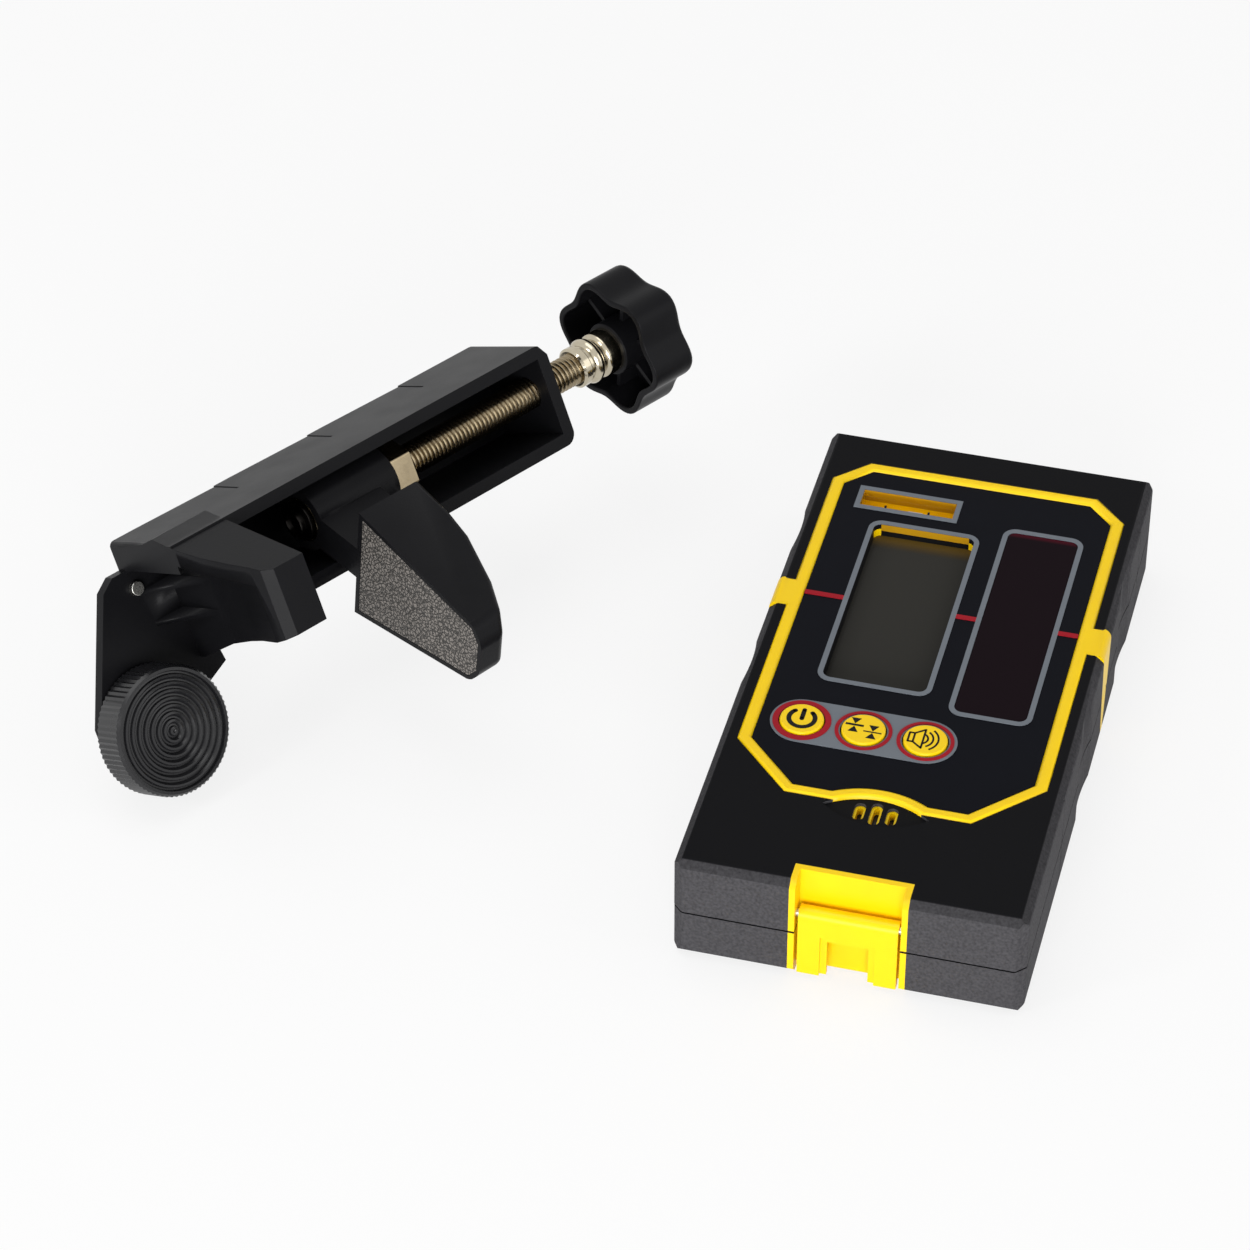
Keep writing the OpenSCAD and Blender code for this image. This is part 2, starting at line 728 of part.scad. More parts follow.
// Printed grey borders round the three windows
module window_frames() color("#6f757b") {
  for (p = [[lcd_x, lcd_y, lcd_w, lcd_l], [sensor_x, sensor_y, sensor_w, sensor_l]]) difference() {
    window(p[0], p[1], p[2] + 2 * border_w, p[3] + 2 * border_w, window_r + border_w,
           panel_top, panel_top + film_t);
    window(p[0], p[1], p[2], p[3], window_r, panel_top - over, panel_top + over);
  }
  difference() {
    box([vial_x - vial_w / 2 - border_w, vial_y - vial_h / 2 - border_w, panel_top],
        [vial_x + vial_w / 2 + border_w, vial_y + vial_h / 2 + border_w, panel_top + film_t]);
    box([vial_x - vial_w / 2, vial_y - vial_h / 2, panel_top - over],
        [vial_x + vial_w / 2, vial_y + vial_h / 2, panel_top + over]);
  }
}

// Red marks on the laser line, between the windows and out to the bezel
module centre_marks() color("#b01a24") {
  inner = bezel_x - bezel_band - inlay_gap;
  for (x = [[-inner, lcd_x - lcd_w / 2 - border_w],
            [lcd_x + lcd_w / 2 + border_w, sensor_x - sensor_w / 2 - border_w],
            [sensor_x + sensor_w / 2 + border_w, inner]])
    box([x[0], mark_y - mark_w / 2, panel_top], [x[1], mark_y + mark_w / 2, panel_top + film_t]);
}

module sensor_window() color("#2a1016")
  window(sensor_x, sensor_y, sensor_w - 2 * inlay_gap, sensor_l - 2 * inlay_gap, window_r - inlay_gap,
         deck_top, panel_top);

module key_strip() color("#77777b") difference() {
  translate([button_x, button_y, panel_top]) linear_extrude(film_t) union() {
    square([2 * button_pitch, strip_h], center = true);
    for (i = [-1, 1]) translate([i * button_pitch, 0]) circle(strip_h / 2);
  }
  at_buttons() translate([0, 0, panel_top - over]) cylinder(r = button_hole_r, h = 2 * over);
}

module key_rings() color("#b01a24") at_buttons() translate([0, 0, panel_top + film_t]) difference() {
  cylinder(r = button_hole_r + ring_w, h = film_t);
  translate([0, 0, -over]) cylinder(r = button_hole_r, h = 2 * over);
}

// One push button with its cap, retaining flange and stem
module push_button(i) color("#ffd800") translate([button_x + i * button_pitch, button_y, 0]) {
  cap_top = panel_top + 2 * film_t + button_rise;
  flange_top = deck_bot - run_gap;
  stem_low = board_top + dome_t + button_travel + dome_gap;
  translate([0, 0, flange_top - flange_t]) cylinder(r = button_r, h = cap_top - flange_top + flange_t);
  translate([0, 0, flange_top - flange_t]) cylinder(r = flange_r, h = flange_t);
  translate([0, 0, stem_low]) cylinder(r = stem_r, h = flange_top - stem_low);
}

module power_button() push_button(-1);
module accuracy_button() push_button(0);
module volume_button() push_button(1);

module level_vial() color("#c8d63c")
  translate([vial_x, vial_y, vial_floor + vial_r]) rotate([0, 90, 0])
    cylinder(r = vial_r, h = vial_w - 2 * vial_end_gap, center = true);

module vial_lines() color("#141414")
  for (i = [-1, 1])
    translate([vial_x + i * vial_ring_gap / 2, vial_y, vial_floor + vial_r]) rotate([0, 90, 0]) difference() {
      cylinder(r = vial_r + vial_ring_t, h = vial_ring_w, center = true);
      cylinder(r = vial_r, h = over, center = true);
      translate([vial_r, 0, 0]) cube([vial_r, 2 * body_h, over], center = true);
    }

module lcd_glass() color("#3c3731")
  box([lcd_x - lcd_w / 2 - lcd_over, lcd_y - lcd_l / 2 - lcd_over, deck_bot - lcd_glass_t],
      [lcd_x + lcd_w / 2 + lcd_over, lcd_y + lcd_l / 2 + lcd_over, deck_bot]);

module lcd_holder() color("#e4e4e0") difference() {
  box([lcd_x - lcd_w / 2 - lcd_over, lcd_y - lcd_l / 2 - lcd_over, board_top],
      [lcd_x + lcd_w / 2 + lcd_over, lcd_y + lcd_l / 2 + lcd_over, deck_bot - lcd_glass_t]);
  box([lcd_x - lcd_w / 2, lcd_y - lcd_l / 2, board_top - over],
      [lcd_x + lcd_w / 2, lcd_y + lcd_l / 2, deck_bot - lcd_glass_t - shell_t]);
}

// Narrow board that lifts the photodiodes up to the sensor window
module sensor_board() color("#2f6b3a") {
  box([sensor_x - strip_board_w / 2, sensor_y - strip_board_l / 2, board_top + strip_leg_h],
      [sensor_x + strip_board_w / 2, sensor_y + strip_board_l / 2, board_top + strip_leg_h + board_t]);
  for (j = [-1, 1]) translate([sensor_x, sensor_y + j * (strip_board_l - strip_leg_w) / 2, 0])
    box([-strip_leg_w / 2, -strip_leg_w / 2, board_top],
        [strip_leg_w / 2, strip_leg_w / 2, board_top + strip_leg_h]);
}

module photodiodes() color("#15151a") {
  step = strip_board_l / diode_count;
  for (i = [0 : diode_count - 1])
    translate([sensor_x, sensor_y - strip_board_l / 2 + (i + 0.5) * step,
               board_top + strip_leg_h + board_t + diode_h / 2])
      cube([diode_w, diode_l, diode_h], center = true);
}

module main_board() color("#2f6b3a") difference() {
  box([-board_w / 2, board_end_y, board_z], [board_w / 2, board_top_y, board_top]);
  at_posts() translate([0, 0, board_z - over]) cylinder(r = small_screw_r, h = board_t + 2 * over);
}

module board_screws() color("#a9abad") at_posts() {
  translate([0, 0, board_top]) cylinder(r = small_head_r, h = small_head_t);
  translate([0, 0, floor_top + over]) cylinder(r = small_screw_r, h = board_top - floor_top - over);
}

module dome_switches() color("#c9c9c6") at_buttons() translate([0, 0, board_top])
  cylinder(r = dome_r, h = dome_t);

module buzzer() color("#c2a35a") translate([0, slot_y, deck_bot - buzzer_t])
  cylinder(r = buzzer_r, h = buzzer_t);

module battery() color("#4a4d52") translate([cell_x, cell_y, cell_z]) {
  box([-cell_l / 2, -cell_w / 2, 0], [cell_l / 2, cell_w / 2, cell_h]);
  for (j = [-1, 1]) translate([cell_l / 2, j * stud_pitch / 2, cell_h / 2]) rotate([0, 90, 0])
    cylinder(r = stud_r, h = stud_h);
}

// Contact strip between the battery's studs and the end wall of the bay
module battery_contacts() color("#b9b6ae") {
  x = cell_x + cell_l / 2 + stud_h;
  box([x, cell_y - cell_w / 2, floor_top + run_gap],
      [x + contact_t, cell_y + cell_w / 2, floor_top + contact_h]);
  box([x + contact_t, cell_y - stud_pitch / 2, floor_top + run_gap],
      [bay_w / 2, cell_y + stud_pitch / 2, seal_low - over]);
}

// Battery door with finger grooves across it, held by the lips at its two ends
module battery_door() color("#262527") difference() {
  intersection() {
    door_opening(door_gap);
    box([-door_w, -body_l, door_in], [door_w, body_l, floor_top]);
  }
  for (i = [0 : door_rib_count - 1])
    translate([0, cell_y - cell_w / 4 + (i - (door_rib_count - 1) / 2) * door_rib_w * 2, door_in])
      cube([bay_w / 3, door_rib_w, 2 * door_rib_h], center = true);
}

// Latch plate with a stepped notch, turning on a pin near its top edge
module latch() color("#ffe11a") difference() {
  union() {
    box([-latch_w / 2, latch_y, latch_z], [latch_w / 2, latch_y + latch_t, pin_z]);
    translate([0, pin_y, pin_z]) rotate([0, 90, 0]) cylinder(r = barrel_r, h = latch_w, center = true);
  }
  box([-notch_in_w / 2, latch_y - over, latch_z - over],
      [notch_in_w / 2, latch_y + latch_t + over, notch_in_top]);
  box([-notch_w / 2, latch_y - over, latch_z - over], [notch_w / 2, latch_y + notch_step, notch_top]);
  translate([0, pin_y, pin_z]) rotate([0, 90, 0])
    cylinder(r = pin_r + shaft_gap, h = latch_w + over, center = true);
}

module latch_pin() color("#9fa1a4") translate([0, pin_y, pin_z]) rotate([0, 90, 0])
  cylinder(r = pin_r, h = recess_w + 2 * pin_grip, center = true);

module thread_insert() color("#b8923e") difference() {
  translate([0, insert_y, 0]) cylinder(r = insert_r, h = insert_l);
  translate([0, insert_y, -over]) cylinder(r = thread_r, h = insert_l + 2 * over);
}

// Puts a clamp piece where the clamp stands
module on_clamp() translate(clamp_pos) rotate(clamp_turn) children();

// Turns a piece along the screw, with its own Z on the screw's axis
module along_screw(x) translate([x, axis_y, axis_z]) rotate([0, 90, 0]) children();

// Outline in the plane of X and Z, pushed along Y
module slab(pts, y0, y1) translate([0, y1, 0]) rotate([90, 0, 0]) linear_extrude(y1 - y0) polygon(pts);

// One layer of the fixed jaw under its sloping top: its back runs from x0 by the shares
module fixed_layer(x0, shares, root_h, tip_h) {
  reach = fixed_tip_y - fixed_shoulder_y;
  back_y = -channel_d + plate_t;
  intersection() {
    translate([0, 0, fixed_top_z - over]) linear_extrude(fixed_low_z - fixed_top_z + 2 * over + channel_t)
      polygon(concat([[fixed_face_x, back_y], [x0, back_y]],
        [for (s = shares) [x0 + s[0] * (fixed_tip_x - x0), fixed_shoulder_y + s[1] * reach]],
        [for (s = tip_shares) [fixed_root_x + s[0] * (fixed_tip_x - fixed_root_x),
                               fixed_shoulder_y + s[1] * reach]],
        [[fixed_face_x, fixed_tip_y]]));
    translate([fixed_top_x - over, 0, 0]) rotate([90, 0, 90])
      linear_extrude(fixed_face_x - fixed_top_x + 2 * over)
      polygon([[back_y, channel_t], [fixed_shoulder_y, fixed_top_z], [fixed_tip_y, fixed_tip_top_z],
               [fixed_tip_y, fixed_tip_top_z + tip_h], [fixed_shoulder_y, fixed_top_z + root_h],
               [back_y, channel_t + root_h]]);
  }
}

// Channel, fixed jaw and receiver plate, moulded in one piece
module clamp_frame() color("#1c1c1f") on_clamp() difference() {
  union() {
    difference() {
      box([0, -channel_d, 0], [channel_l, 0, channel_w]);
      box([fixed_root_x, -channel_d + channel_t, channel_t],
          [channel_l - channel_t, over, channel_w - channel_t]);
      box([-over, -channel_d + plate_t, plate_top], [fixed_root_x + over, over, channel_w + over]);
    }
    slab([[plate_top_x0 + plate_corner, plate_top], [plate_x1, plate_top], [plate_low_x1, plate_low_z],
          [wheel_x + plate_end_r, wheel_z], [wheel_x - plate_end_r, wheel_z], [plate_low_x0, plate_low_z],
          [plate_top_x0 - plate_lean * plate_corner, plate_top + plate_corner]],
         -channel_d, -channel_d + plate_t);
    translate([wheel_x, -channel_d, wheel_z]) rotate([-90, 0, 0]) cylinder(r = plate_end_r, h = plate_t);
    fixed_layer(fixed_root_x, blade_shares, fixed_low_z - fixed_top_z, fixed_tip_low_z - fixed_tip_top_z);
    fixed_layer(fixed_top_x, top_shares, fixed_top_t, fixed_top_t);
    for (i = [0, 1]) translate([0, 0, gusset_z + i * gusset_pitch]) linear_extrude(gusset_t)
      translate([fixed_root_x, -channel_d + plate_t])
        polygon([[over, -over], [-gusset_l, -over], [-gusset_l, 0], [over, gusset_out]]);
  }
  for (s = step_shares) {
    translate([s * channel_l, -channel_d, -over]) linear_extrude(channel_w + 2 * over)
      polygon([[0, -over], [0, step_d], [-step_l, 0], [-step_l, -over]]);
    translate([s * channel_l, -channel_d + score_l / 2, 0])
      cube([score_w, score_l, 2 * score_d], center = true);
  }
  along_screw(channel_l - channel_t - over) cylinder(r = wall_nut_r, h = channel_t + 2 * over);
  translate([wheel_x, -channel_d - over, wheel_z]) rotate([-90, 0, 0])
    cylinder(r = shoulder_r + shaft_gap, h = plate_t + 2 * over);
  translate([locate_x, -channel_d - over, locate_z]) rotate([-90, 0, 0])
    cylinder(r = locate_r + locate_step, h = plate_t + 2 * over);
  translate([fixed_face_x - pad_t, 0, 0]) fixed_pad_outline(2 * pad_t);
}

// Outline of the grip pad on the fixed jaw, from its face inwards, clear of the channel's lips
module fixed_pad_outline(t) rotate([90, 0, 90]) linear_extrude(t) polygon(inset([
  [0, fixed_top_z + pad_share * (fixed_tip_top_z - fixed_top_z)], [fixed_tip_y, fixed_tip_top_z],
  [fixed_tip_y, fixed_tip_low_z], [0, fixed_low_z + pad_share * (fixed_tip_low_z - fixed_low_z)]],
  pad_inset));

module fixed_pad() color("#5e5a56") on_clamp() translate([fixed_face_x - pad_t, 0, 0])
  fixed_pad_outline(pad_t);

// Locating pin: a thicker shank in the plate and a free end for the receiver's hole
module locating_pin() color("#c9c7c0") on_clamp()
  translate([locate_x, -channel_d, locate_z]) rotate([-90, 0, 0]) {
  translate([0, 0, -locate_in]) cylinder(r = locate_r, h = locate_in);
  cylinder(r = locate_r + locate_step, h = plate_t + locate_out);
}

// Lead screw: a plain journal in the jaw, a thread drawn as ridges, and a neck in the ferrule
module lead_screw() color("#b8a98a") on_clamp() along_screw(0) {
  count = floor((ferrule_x - thread_x) / screw_pitch);
  flat = screw_pitch * thread_flat_share;
  rotate_extrude() polygon(concat([[0, tip_x], [core_r, tip_x]], [for (i = [0 : count - 1], k = [0 : 3])
    [k == 1 || k == 2 ? screw_r : core_r,
     thread_x + (i + (k == 0 ? 0 : k == 3 ? 1 : 0.5)) * screw_pitch + (k == 0 || k == 2 ? flat : -flat)]],
    [[core_r, knob_x + hub_bore_l], [0, knob_x + hub_bore_l]]));
}

// Ferrule between the thread and the knob, turned with rings
module ferrule() color("#c2a667") on_clamp() along_screw(ferrule_x) {
  step = ferrule_ring_l + ferrule_groove_l;
  rotate_extrude() polygon([
    [core_r, 0], [ferrule_r, 0], [ferrule_r, ferrule_ring_l], [ferrule_groove_r, ferrule_ring_l],
    [ferrule_groove_r, step], [ferrule_ring_r, step], [ferrule_ring_r, step + ferrule_ring_l],
    [ferrule_groove_r, step + ferrule_ring_l], [ferrule_groove_r, 2 * step], [ferrule_ring_r, 2 * step],
    [ferrule_ring_r, ferrule_l], [core_r, ferrule_l]]);
}

// Star knob, hollow on the side that faces the channel, with ribs round its hub
module star_knob() color("#1c1c1f") on_clamp() along_screw(knob_x) difference() {
  union() {
    difference() {
      linear_extrude(knob_h) polygon(star(knob_r));
      translate([0, 0, -over]) linear_extrude(knob_h - knob_face_t + over) polygon(star(knob_r - knob_wall));
    }
    cylinder(r = hub_r, h = knob_h - over);
    for (i = [0 : lobe_count - 1]) rotate([0, 0, (i + 0.5) * 360 / lobe_count])
      translate([hub_r - over, -rib_t / 2, knob_h / 3])
        cube([valley_r - hub_r, rib_t, knob_h - knob_h / 3 - over]);
  }
  translate([0, 0, -over]) cylinder(r = core_r, h = hub_bore_l + over);
}

// Threaded bush in the channel's end wall that the screw runs through
module wall_nut() color("#b8923e") on_clamp() along_screw(channel_l - channel_t) difference() {
  cylinder(r = wall_nut_r, h = channel_t);
  translate([0, 0, -over]) cylinder(r = screw_r + shaft_gap, h = channel_t + 2 * over);
}

// Swivel bush on the screw's journal: a hexagonal collar and a round shank that the jaw turns on
module jaw_bush() color("#b8a98a") on_clamp() difference() {
  union() {
    along_screw(jaw_at) cylinder(r = shank_r, h = jaw_t + collar_t);
    along_screw(collar_x) cylinder(r = collar_flat / sqrt(3), h = collar_t, $fn = 6);
  }
  along_screw(jaw_at - over) cylinder(r = core_r + shaft_gap, h = jaw_t + collar_t + 2 * over);
}

// Clip on the screw's tip that keeps the bush from coming off
module jaw_clip() color("#8f8a80") on_clamp() along_screw(jaw_at - clip_gap - clip_t) difference() {
  cylinder(r = clip_r, h = clip_t);
  translate([0, 0, -over]) cylinder(r = core_r, h = clip_t + 2 * over);
}

// Turns a piece to the jaw's hang: its own Y runs out to the jaw's tip, Z across the jaw
module on_jaw() on_clamp() translate([0, axis_y, axis_z]) rotate([jaw_hang, 0, 0]) children();

// Side of the moving jaw seen along the screw, drawn in by d
module jaw_side(d, x0, x1) {
  translate([x0, 0, 0]) rotate([90, 0, 90]) linear_extrude(x1 - x0) polygon(inset([
    [jaw_root, -jaw_root_half], [jaw_reach - jaw_corner, -jaw_tip_half - jaw_corner / 3],
    [jaw_reach, -jaw_tip_half + jaw_corner], [jaw_reach, jaw_tip_half - jaw_corner],
    [jaw_reach - jaw_corner, jaw_tip_half + jaw_corner / 3], [jaw_root, jaw_root_half]], d));
}

module moving_jaw() color("#1c1c1f") on_jaw() difference() {
  union() {
    intersection() {
      jaw_side(0, jaw_at, jaw_at + blade_t);
      translate([0, 0, -jaw_root_half - over]) linear_extrude(2 * (jaw_root_half + over))
        polygon(concat([[jaw_at, jaw_reach], [jaw_at, jaw_root]], [for (s = jaw_back_shares)
          [jaw_at + jaw_tip_t + s[1] * (blade_t - jaw_tip_t), jaw_root + s[0] * (jaw_reach - jaw_root)]]));
    }
    box([jaw_at, 0, -neck_t / 2], [jaw_at + blade_t, jaw_root + over, neck_t / 2]);
    translate([jaw_at, 0, 0]) rotate([0, 90, 0]) cylinder(r = carrier_r, h = jaw_t);
  }
  translate([jaw_at - over, 0, 0]) rotate([0, 90, 0]) cylinder(r = shank_r + shaft_gap, h = jaw_t + 2 * over);
  jaw_side(pad_rim, jaw_at - over, jaw_at + pad_t);
}

module jaw_pad() color("#5e5a56") on_jaw() jaw_side(pad_rim, jaw_at, jaw_at + pad_t);

// Knurled thumbwheel with rings in its face, turning on the plate
module thumbwheel() color("#1c1c1f") on_clamp()
  translate([wheel_x, wheel_y, wheel_z]) rotate([-90, 0, 0]) difference() {
    linear_extrude(wheel_t) polygon([for (i = [0 : 2 * knurl_count - 1])
      (wheel_r - (i % 2) * knurl_d) * [cos(i * 180 / knurl_count), sin(i * 180 / knurl_count)]]);
    for (i = [1 : ring_groove_count]) translate([0, 0, wheel_t - ring_groove_d]) difference() {
      cylinder(r = i * wheel_r / (ring_groove_count + 1) + ring_groove_w / 2, h = ring_groove_d + over);
      translate([0, 0, -over]) cylinder(r = i * wheel_r / (ring_groove_count + 1) - ring_groove_w / 2,
                                        h = ring_groove_d + 3 * over);
    }
    translate([0, 0, -over]) cylinder(r = shoulder_r, h = wheel_t / 2 + over);
  }

// Thumb stud: a shoulder in the wheel and the plate, and a threaded end for the receiver
module thumb_stud() color("#b9b6ae") on_clamp()
  translate([wheel_x, -channel_d, wheel_z]) rotate([-90, 0, 0]) {
  translate([0, 0, -stud_out]) cylinder(r = thumb_r, h = stud_out);
  cylinder(r = shoulder_r, h = plate_t + wheel_gap + wheel_t / 2);
}

rear_cover();
rear_shell();
seam_seal();
front_shell();
front_cover();
housing_screws();
face_panel();
window_frames();
centre_marks();
sensor_window();
key_strip();
key_rings();
power_button();
accuracy_button();
volume_button();
level_vial();
vial_lines();
lcd_glass();
lcd_holder();
sensor_board();
photodiodes();
main_board();
board_screws();
dome_switches();
buzzer();
battery();
battery_contacts();
battery_door();
latch();
latch_pin();
thread_insert();
clamp_frame();
fixed_pad();
locating_pin();
lead_screw();
ferrule();
star_knob();
wall_nut();
jaw_bush();
jaw_clip();
moving_jaw();
jaw_pad();
thumbwheel();
thumb_stud();
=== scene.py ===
"""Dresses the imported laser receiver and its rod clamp: mouldings, printed panel, screw thread and studio."""
import json
import logging
import math
from collections.abc import Callable, Iterable, Sequence
from dataclasses import dataclass
from enum import Enum

import bmesh
import bpy
from mathutils import Matrix, Vector


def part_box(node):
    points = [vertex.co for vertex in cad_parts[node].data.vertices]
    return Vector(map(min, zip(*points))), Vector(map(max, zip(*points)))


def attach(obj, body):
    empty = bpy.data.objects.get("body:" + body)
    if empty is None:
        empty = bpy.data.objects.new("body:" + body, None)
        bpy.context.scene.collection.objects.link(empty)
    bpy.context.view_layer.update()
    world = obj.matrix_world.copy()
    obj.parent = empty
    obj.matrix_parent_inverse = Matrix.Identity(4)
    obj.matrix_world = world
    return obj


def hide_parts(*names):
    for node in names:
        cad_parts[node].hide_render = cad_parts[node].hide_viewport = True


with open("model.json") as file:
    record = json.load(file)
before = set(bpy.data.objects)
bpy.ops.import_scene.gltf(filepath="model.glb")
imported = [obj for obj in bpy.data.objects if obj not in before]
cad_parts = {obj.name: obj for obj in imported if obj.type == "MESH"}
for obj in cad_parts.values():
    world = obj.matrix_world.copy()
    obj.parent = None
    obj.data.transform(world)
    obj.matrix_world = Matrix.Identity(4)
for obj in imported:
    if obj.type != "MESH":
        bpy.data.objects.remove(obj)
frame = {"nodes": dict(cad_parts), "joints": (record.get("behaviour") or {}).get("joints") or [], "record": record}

log = logging.getLogger("laser_receiver")
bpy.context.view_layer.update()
MM = 0.001
WELD_MM = 0.001
COPLANAR_DEG = 0.8
SPIN_WELD_MM = 0.0005
Colour = tuple[float, float, float, float]
Point = Sequence[float]


def linear(code: str) -> Colour:
    """Turns an sRGB hex colour into linear light.

    Args:
        code: Six hex digits after a hash sign.

    Returns:
        Linear red, green and blue, and an alpha of one.
    """
    parts = [int(code[i:i + 2], 16) / 255 for i in (1, 3, 5)]
    r, g, b = (c / 12.92 if c <= 0.04045 else ((c + 0.055) / 1.055) ** 2.4 for c in parts)
    return r, g, b, 1.0


def per(size_mm: float) -> float:
    """Gives the texture scale at which one feature is about size_mm across."""
    return 1 / (size_mm * MM)


def add(tree: bpy.types.NodeTree, kind: str, links: dict | None = None, values: dict | None = None,
        **settings: object) -> bpy.types.Node:
    """Adds a shader node.

    Args:
        tree: Node tree that takes the node.
        kind: Node type without its ShaderNode prefix.
        links: Output sockets that feed the node's inputs, by input name or number.
        values: Plain values of the node's inputs, by input name or number.
        **settings: Properties of the node.

    Returns:
        The new node.
    """
    node = tree.nodes.new("ShaderNode" + kind)
    for key, value in settings.items():
        setattr(node, key, value)
    for socket, value in (values or {}).items():
        node.inputs[socket].default_value = value
    for socket, source in (links or {}).items():
        tree.links.new(source, node.inputs[socket])
    return node


class Finish:
    """One real material: a title and the shader that shows it."""

    title: str

    def shader(self, tree: bpy.types.NodeTree, place: bpy.types.Node) -> bpy.types.Node:
        """Builds the surface shader from Object coordinates.

        Args:
            tree: Node tree of the material.
            place: Texture coordinate node.

        Returns:
            The node whose first output is the surface.
        """
        raise NotImplementedError

    def material(self) -> bpy.types.Material:
        """Returns the material, made the first time that it is asked for."""
        made = bpy.data.materials.get(self.title)
        if made is None:
            made = bpy.data.materials.new(self.title)
            made.use_nodes = True
            made.node_tree.nodes.clear()
            place = add(made.node_tree, "TexCoord")
            surface = self.shader(made.node_tree, place)
            add(made.node_tree, "OutputMaterial", {"Surface": surface.outputs[0]})
        return made


@dataclass(frozen=True)
class Moulding(Finish):
    """Injection-moulded plastic: an even colour with slight clouding and the mould's fine texture."""

    title: str
    colour: str
    shade: str
    rough: float = 0.42
    shine: float = 0.3
    grain_mm: float = 0.35
    depth_mm: float = 0.012
    cloud_mm: float = 9.0

    def shader(self, tree: bpy.types.NodeTree, place: bpy.types.Node) -> bpy.types.Node:
        """Mixes two near shades by a broad noise, over a fine bump."""
        at = place.outputs["Object"]
        cloud = add(tree, "TexNoise", {"Vector": at}, {"Scale": per(self.cloud_mm), "Detail": 4.0})
        tint = add(tree, "Mix", {0: cloud.outputs[0]}, {6: linear(self.shade), 7: linear(self.colour)},
                   data_type="RGBA")
        gloss = add(tree, "MapRange", {"Value": cloud.outputs[0]},
                    {"To Min": self.rough - 0.06, "To Max": self.rough + 0.06})
        grain = add(tree, "TexNoise", {"Vector": at}, {"Scale": per(self.grain_mm), "Detail": 2.0})
        relief = add(tree, "Bump", {"Height": grain.outputs[0]},
                     {"Strength": 1.0, "Distance": self.depth_mm * MM})
        return add(tree, "BsdfPrincipled",
                   {"Base Color": tint.outputs[2], "Roughness": gloss.outputs[0], "Normal": relief.outputs[0]},
                   {"Specular IOR Level": self.shine})


@dataclass(frozen=True)
class GrainedCover(Finish):
    """Soft overmoulded rubber with a coarse spark-eroded grain: the top is painted darker as shade and the upright
    faces lighter as painted light.
    """

    title: str
    top: str
    side: str
    grain: str
    grain_mm: float = 0.7
    depth_mm: float = 0.14
    shine: float = 0.03

    def shader(self, tree: bpy.types.NodeTree, place: bpy.types.Node) -> bpy.types.Node:
        """Blends the darker top into the lighter sides by the face's own upward tilt: painted shade on top,
        painted light on the upright faces.
        """
        at = place.outputs["Object"]
        facing = add(tree, "SeparateXYZ", {0: place.outputs["Normal"]})
        level = add(tree, "Math", {0: facing.outputs[2]}, operation="ABSOLUTE")
        # painted light: upright faces take the lighter side colours, level faces the darker top colour
        upright = add(tree, "MapRange", {"Value": level.outputs[0]},
                      {"From Min": 0.93, "From Max": 0.55}, interpolation_type="SMOOTHSTEP")
        pores = add(tree, "TexVoronoi", {"Vector": at}, {"Scale": per(self.grain_mm)}, feature="SMOOTH_F1")
        dust = add(tree, "TexNoise", {"Vector": at}, {"Scale": per(self.grain_mm), "Detail": 3.0})
        fleck = add(tree, "Mix", {0: dust.outputs[0]}, {6: linear(self.side), 7: linear(self.grain)},
                    data_type="RGBA")
        tint = add(tree, "Mix", {0: upright.outputs[0], 7: fleck.outputs[2]}, {6: linear(self.top)},
                   data_type="RGBA")
        height = add(tree, "Math", {0: pores.outputs[0], 1: dust.outputs[0]}, operation="ADD")
        deep = add(tree, "Math", {0: upright.outputs[0]}, {1: 0.92, 2: 0.08}, operation="MULTIPLY_ADD")
        relief = add(tree, "Bump", {"Height": height.outputs[0], "Strength": deep.outputs[0]},
                     {"Distance": self.depth_mm * MM})
        gloss = add(tree, "MapRange", {"Value": upright.outputs[0]}, {"To Min": 0.5, "To Max": 0.62})
        return add(tree, "BsdfPrincipled",
                   {"Base Color": tint.outputs[2], "Roughness": gloss.outputs[0], "Normal": relief.outputs[0]},
                   {"Specular IOR Level": self.shine})


@dataclass(frozen=True)
class TurnedMetal(Finish):
    """Turned and plated metal: mirror-like, with fine tool marks and a mottled plating."""

    title: str
    colour: str
    shade: str
    rough: float = 0.2

    def shader(self, tree: bpy.types.NodeTree, place: bpy.types.Node) -> bpy.types.Node:
        """Mixes two plating tones over tool marks of about a quarter millimetre."""
        at = place.outputs["Object"]
        cloud = add(tree, "TexNoise", {"Vector": at}, {"Scale": per(2.5), "Detail": 4.0})
        tint = add(tree, "Mix", {0: cloud.outputs[0]}, {6: linear(self.shade), 7: linear(self.colour)},
                   data_type="RGBA")
        marks = add(tree, "TexNoise", {"Vector": at}, {"Scale": per(0.25), "Detail": 2.0})
        gloss = add(tree, "MapRange", {"Value": marks.outputs[0]},
                    {"To Min": self.rough - 0.06, "To Max": self.rough + 0.1})
        relief = add(tree, "Bump", {"Height": marks.outputs[0]}, {"Strength": 1.0, "Distance": 0.004 * MM})
        return add(tree, "BsdfPrincipled",
                   {"Base Color": tint.outputs[2], "Roughness": gloss.outputs[0], "Normal": relief.outputs[0]},
                   {"Metallic": 1.0})


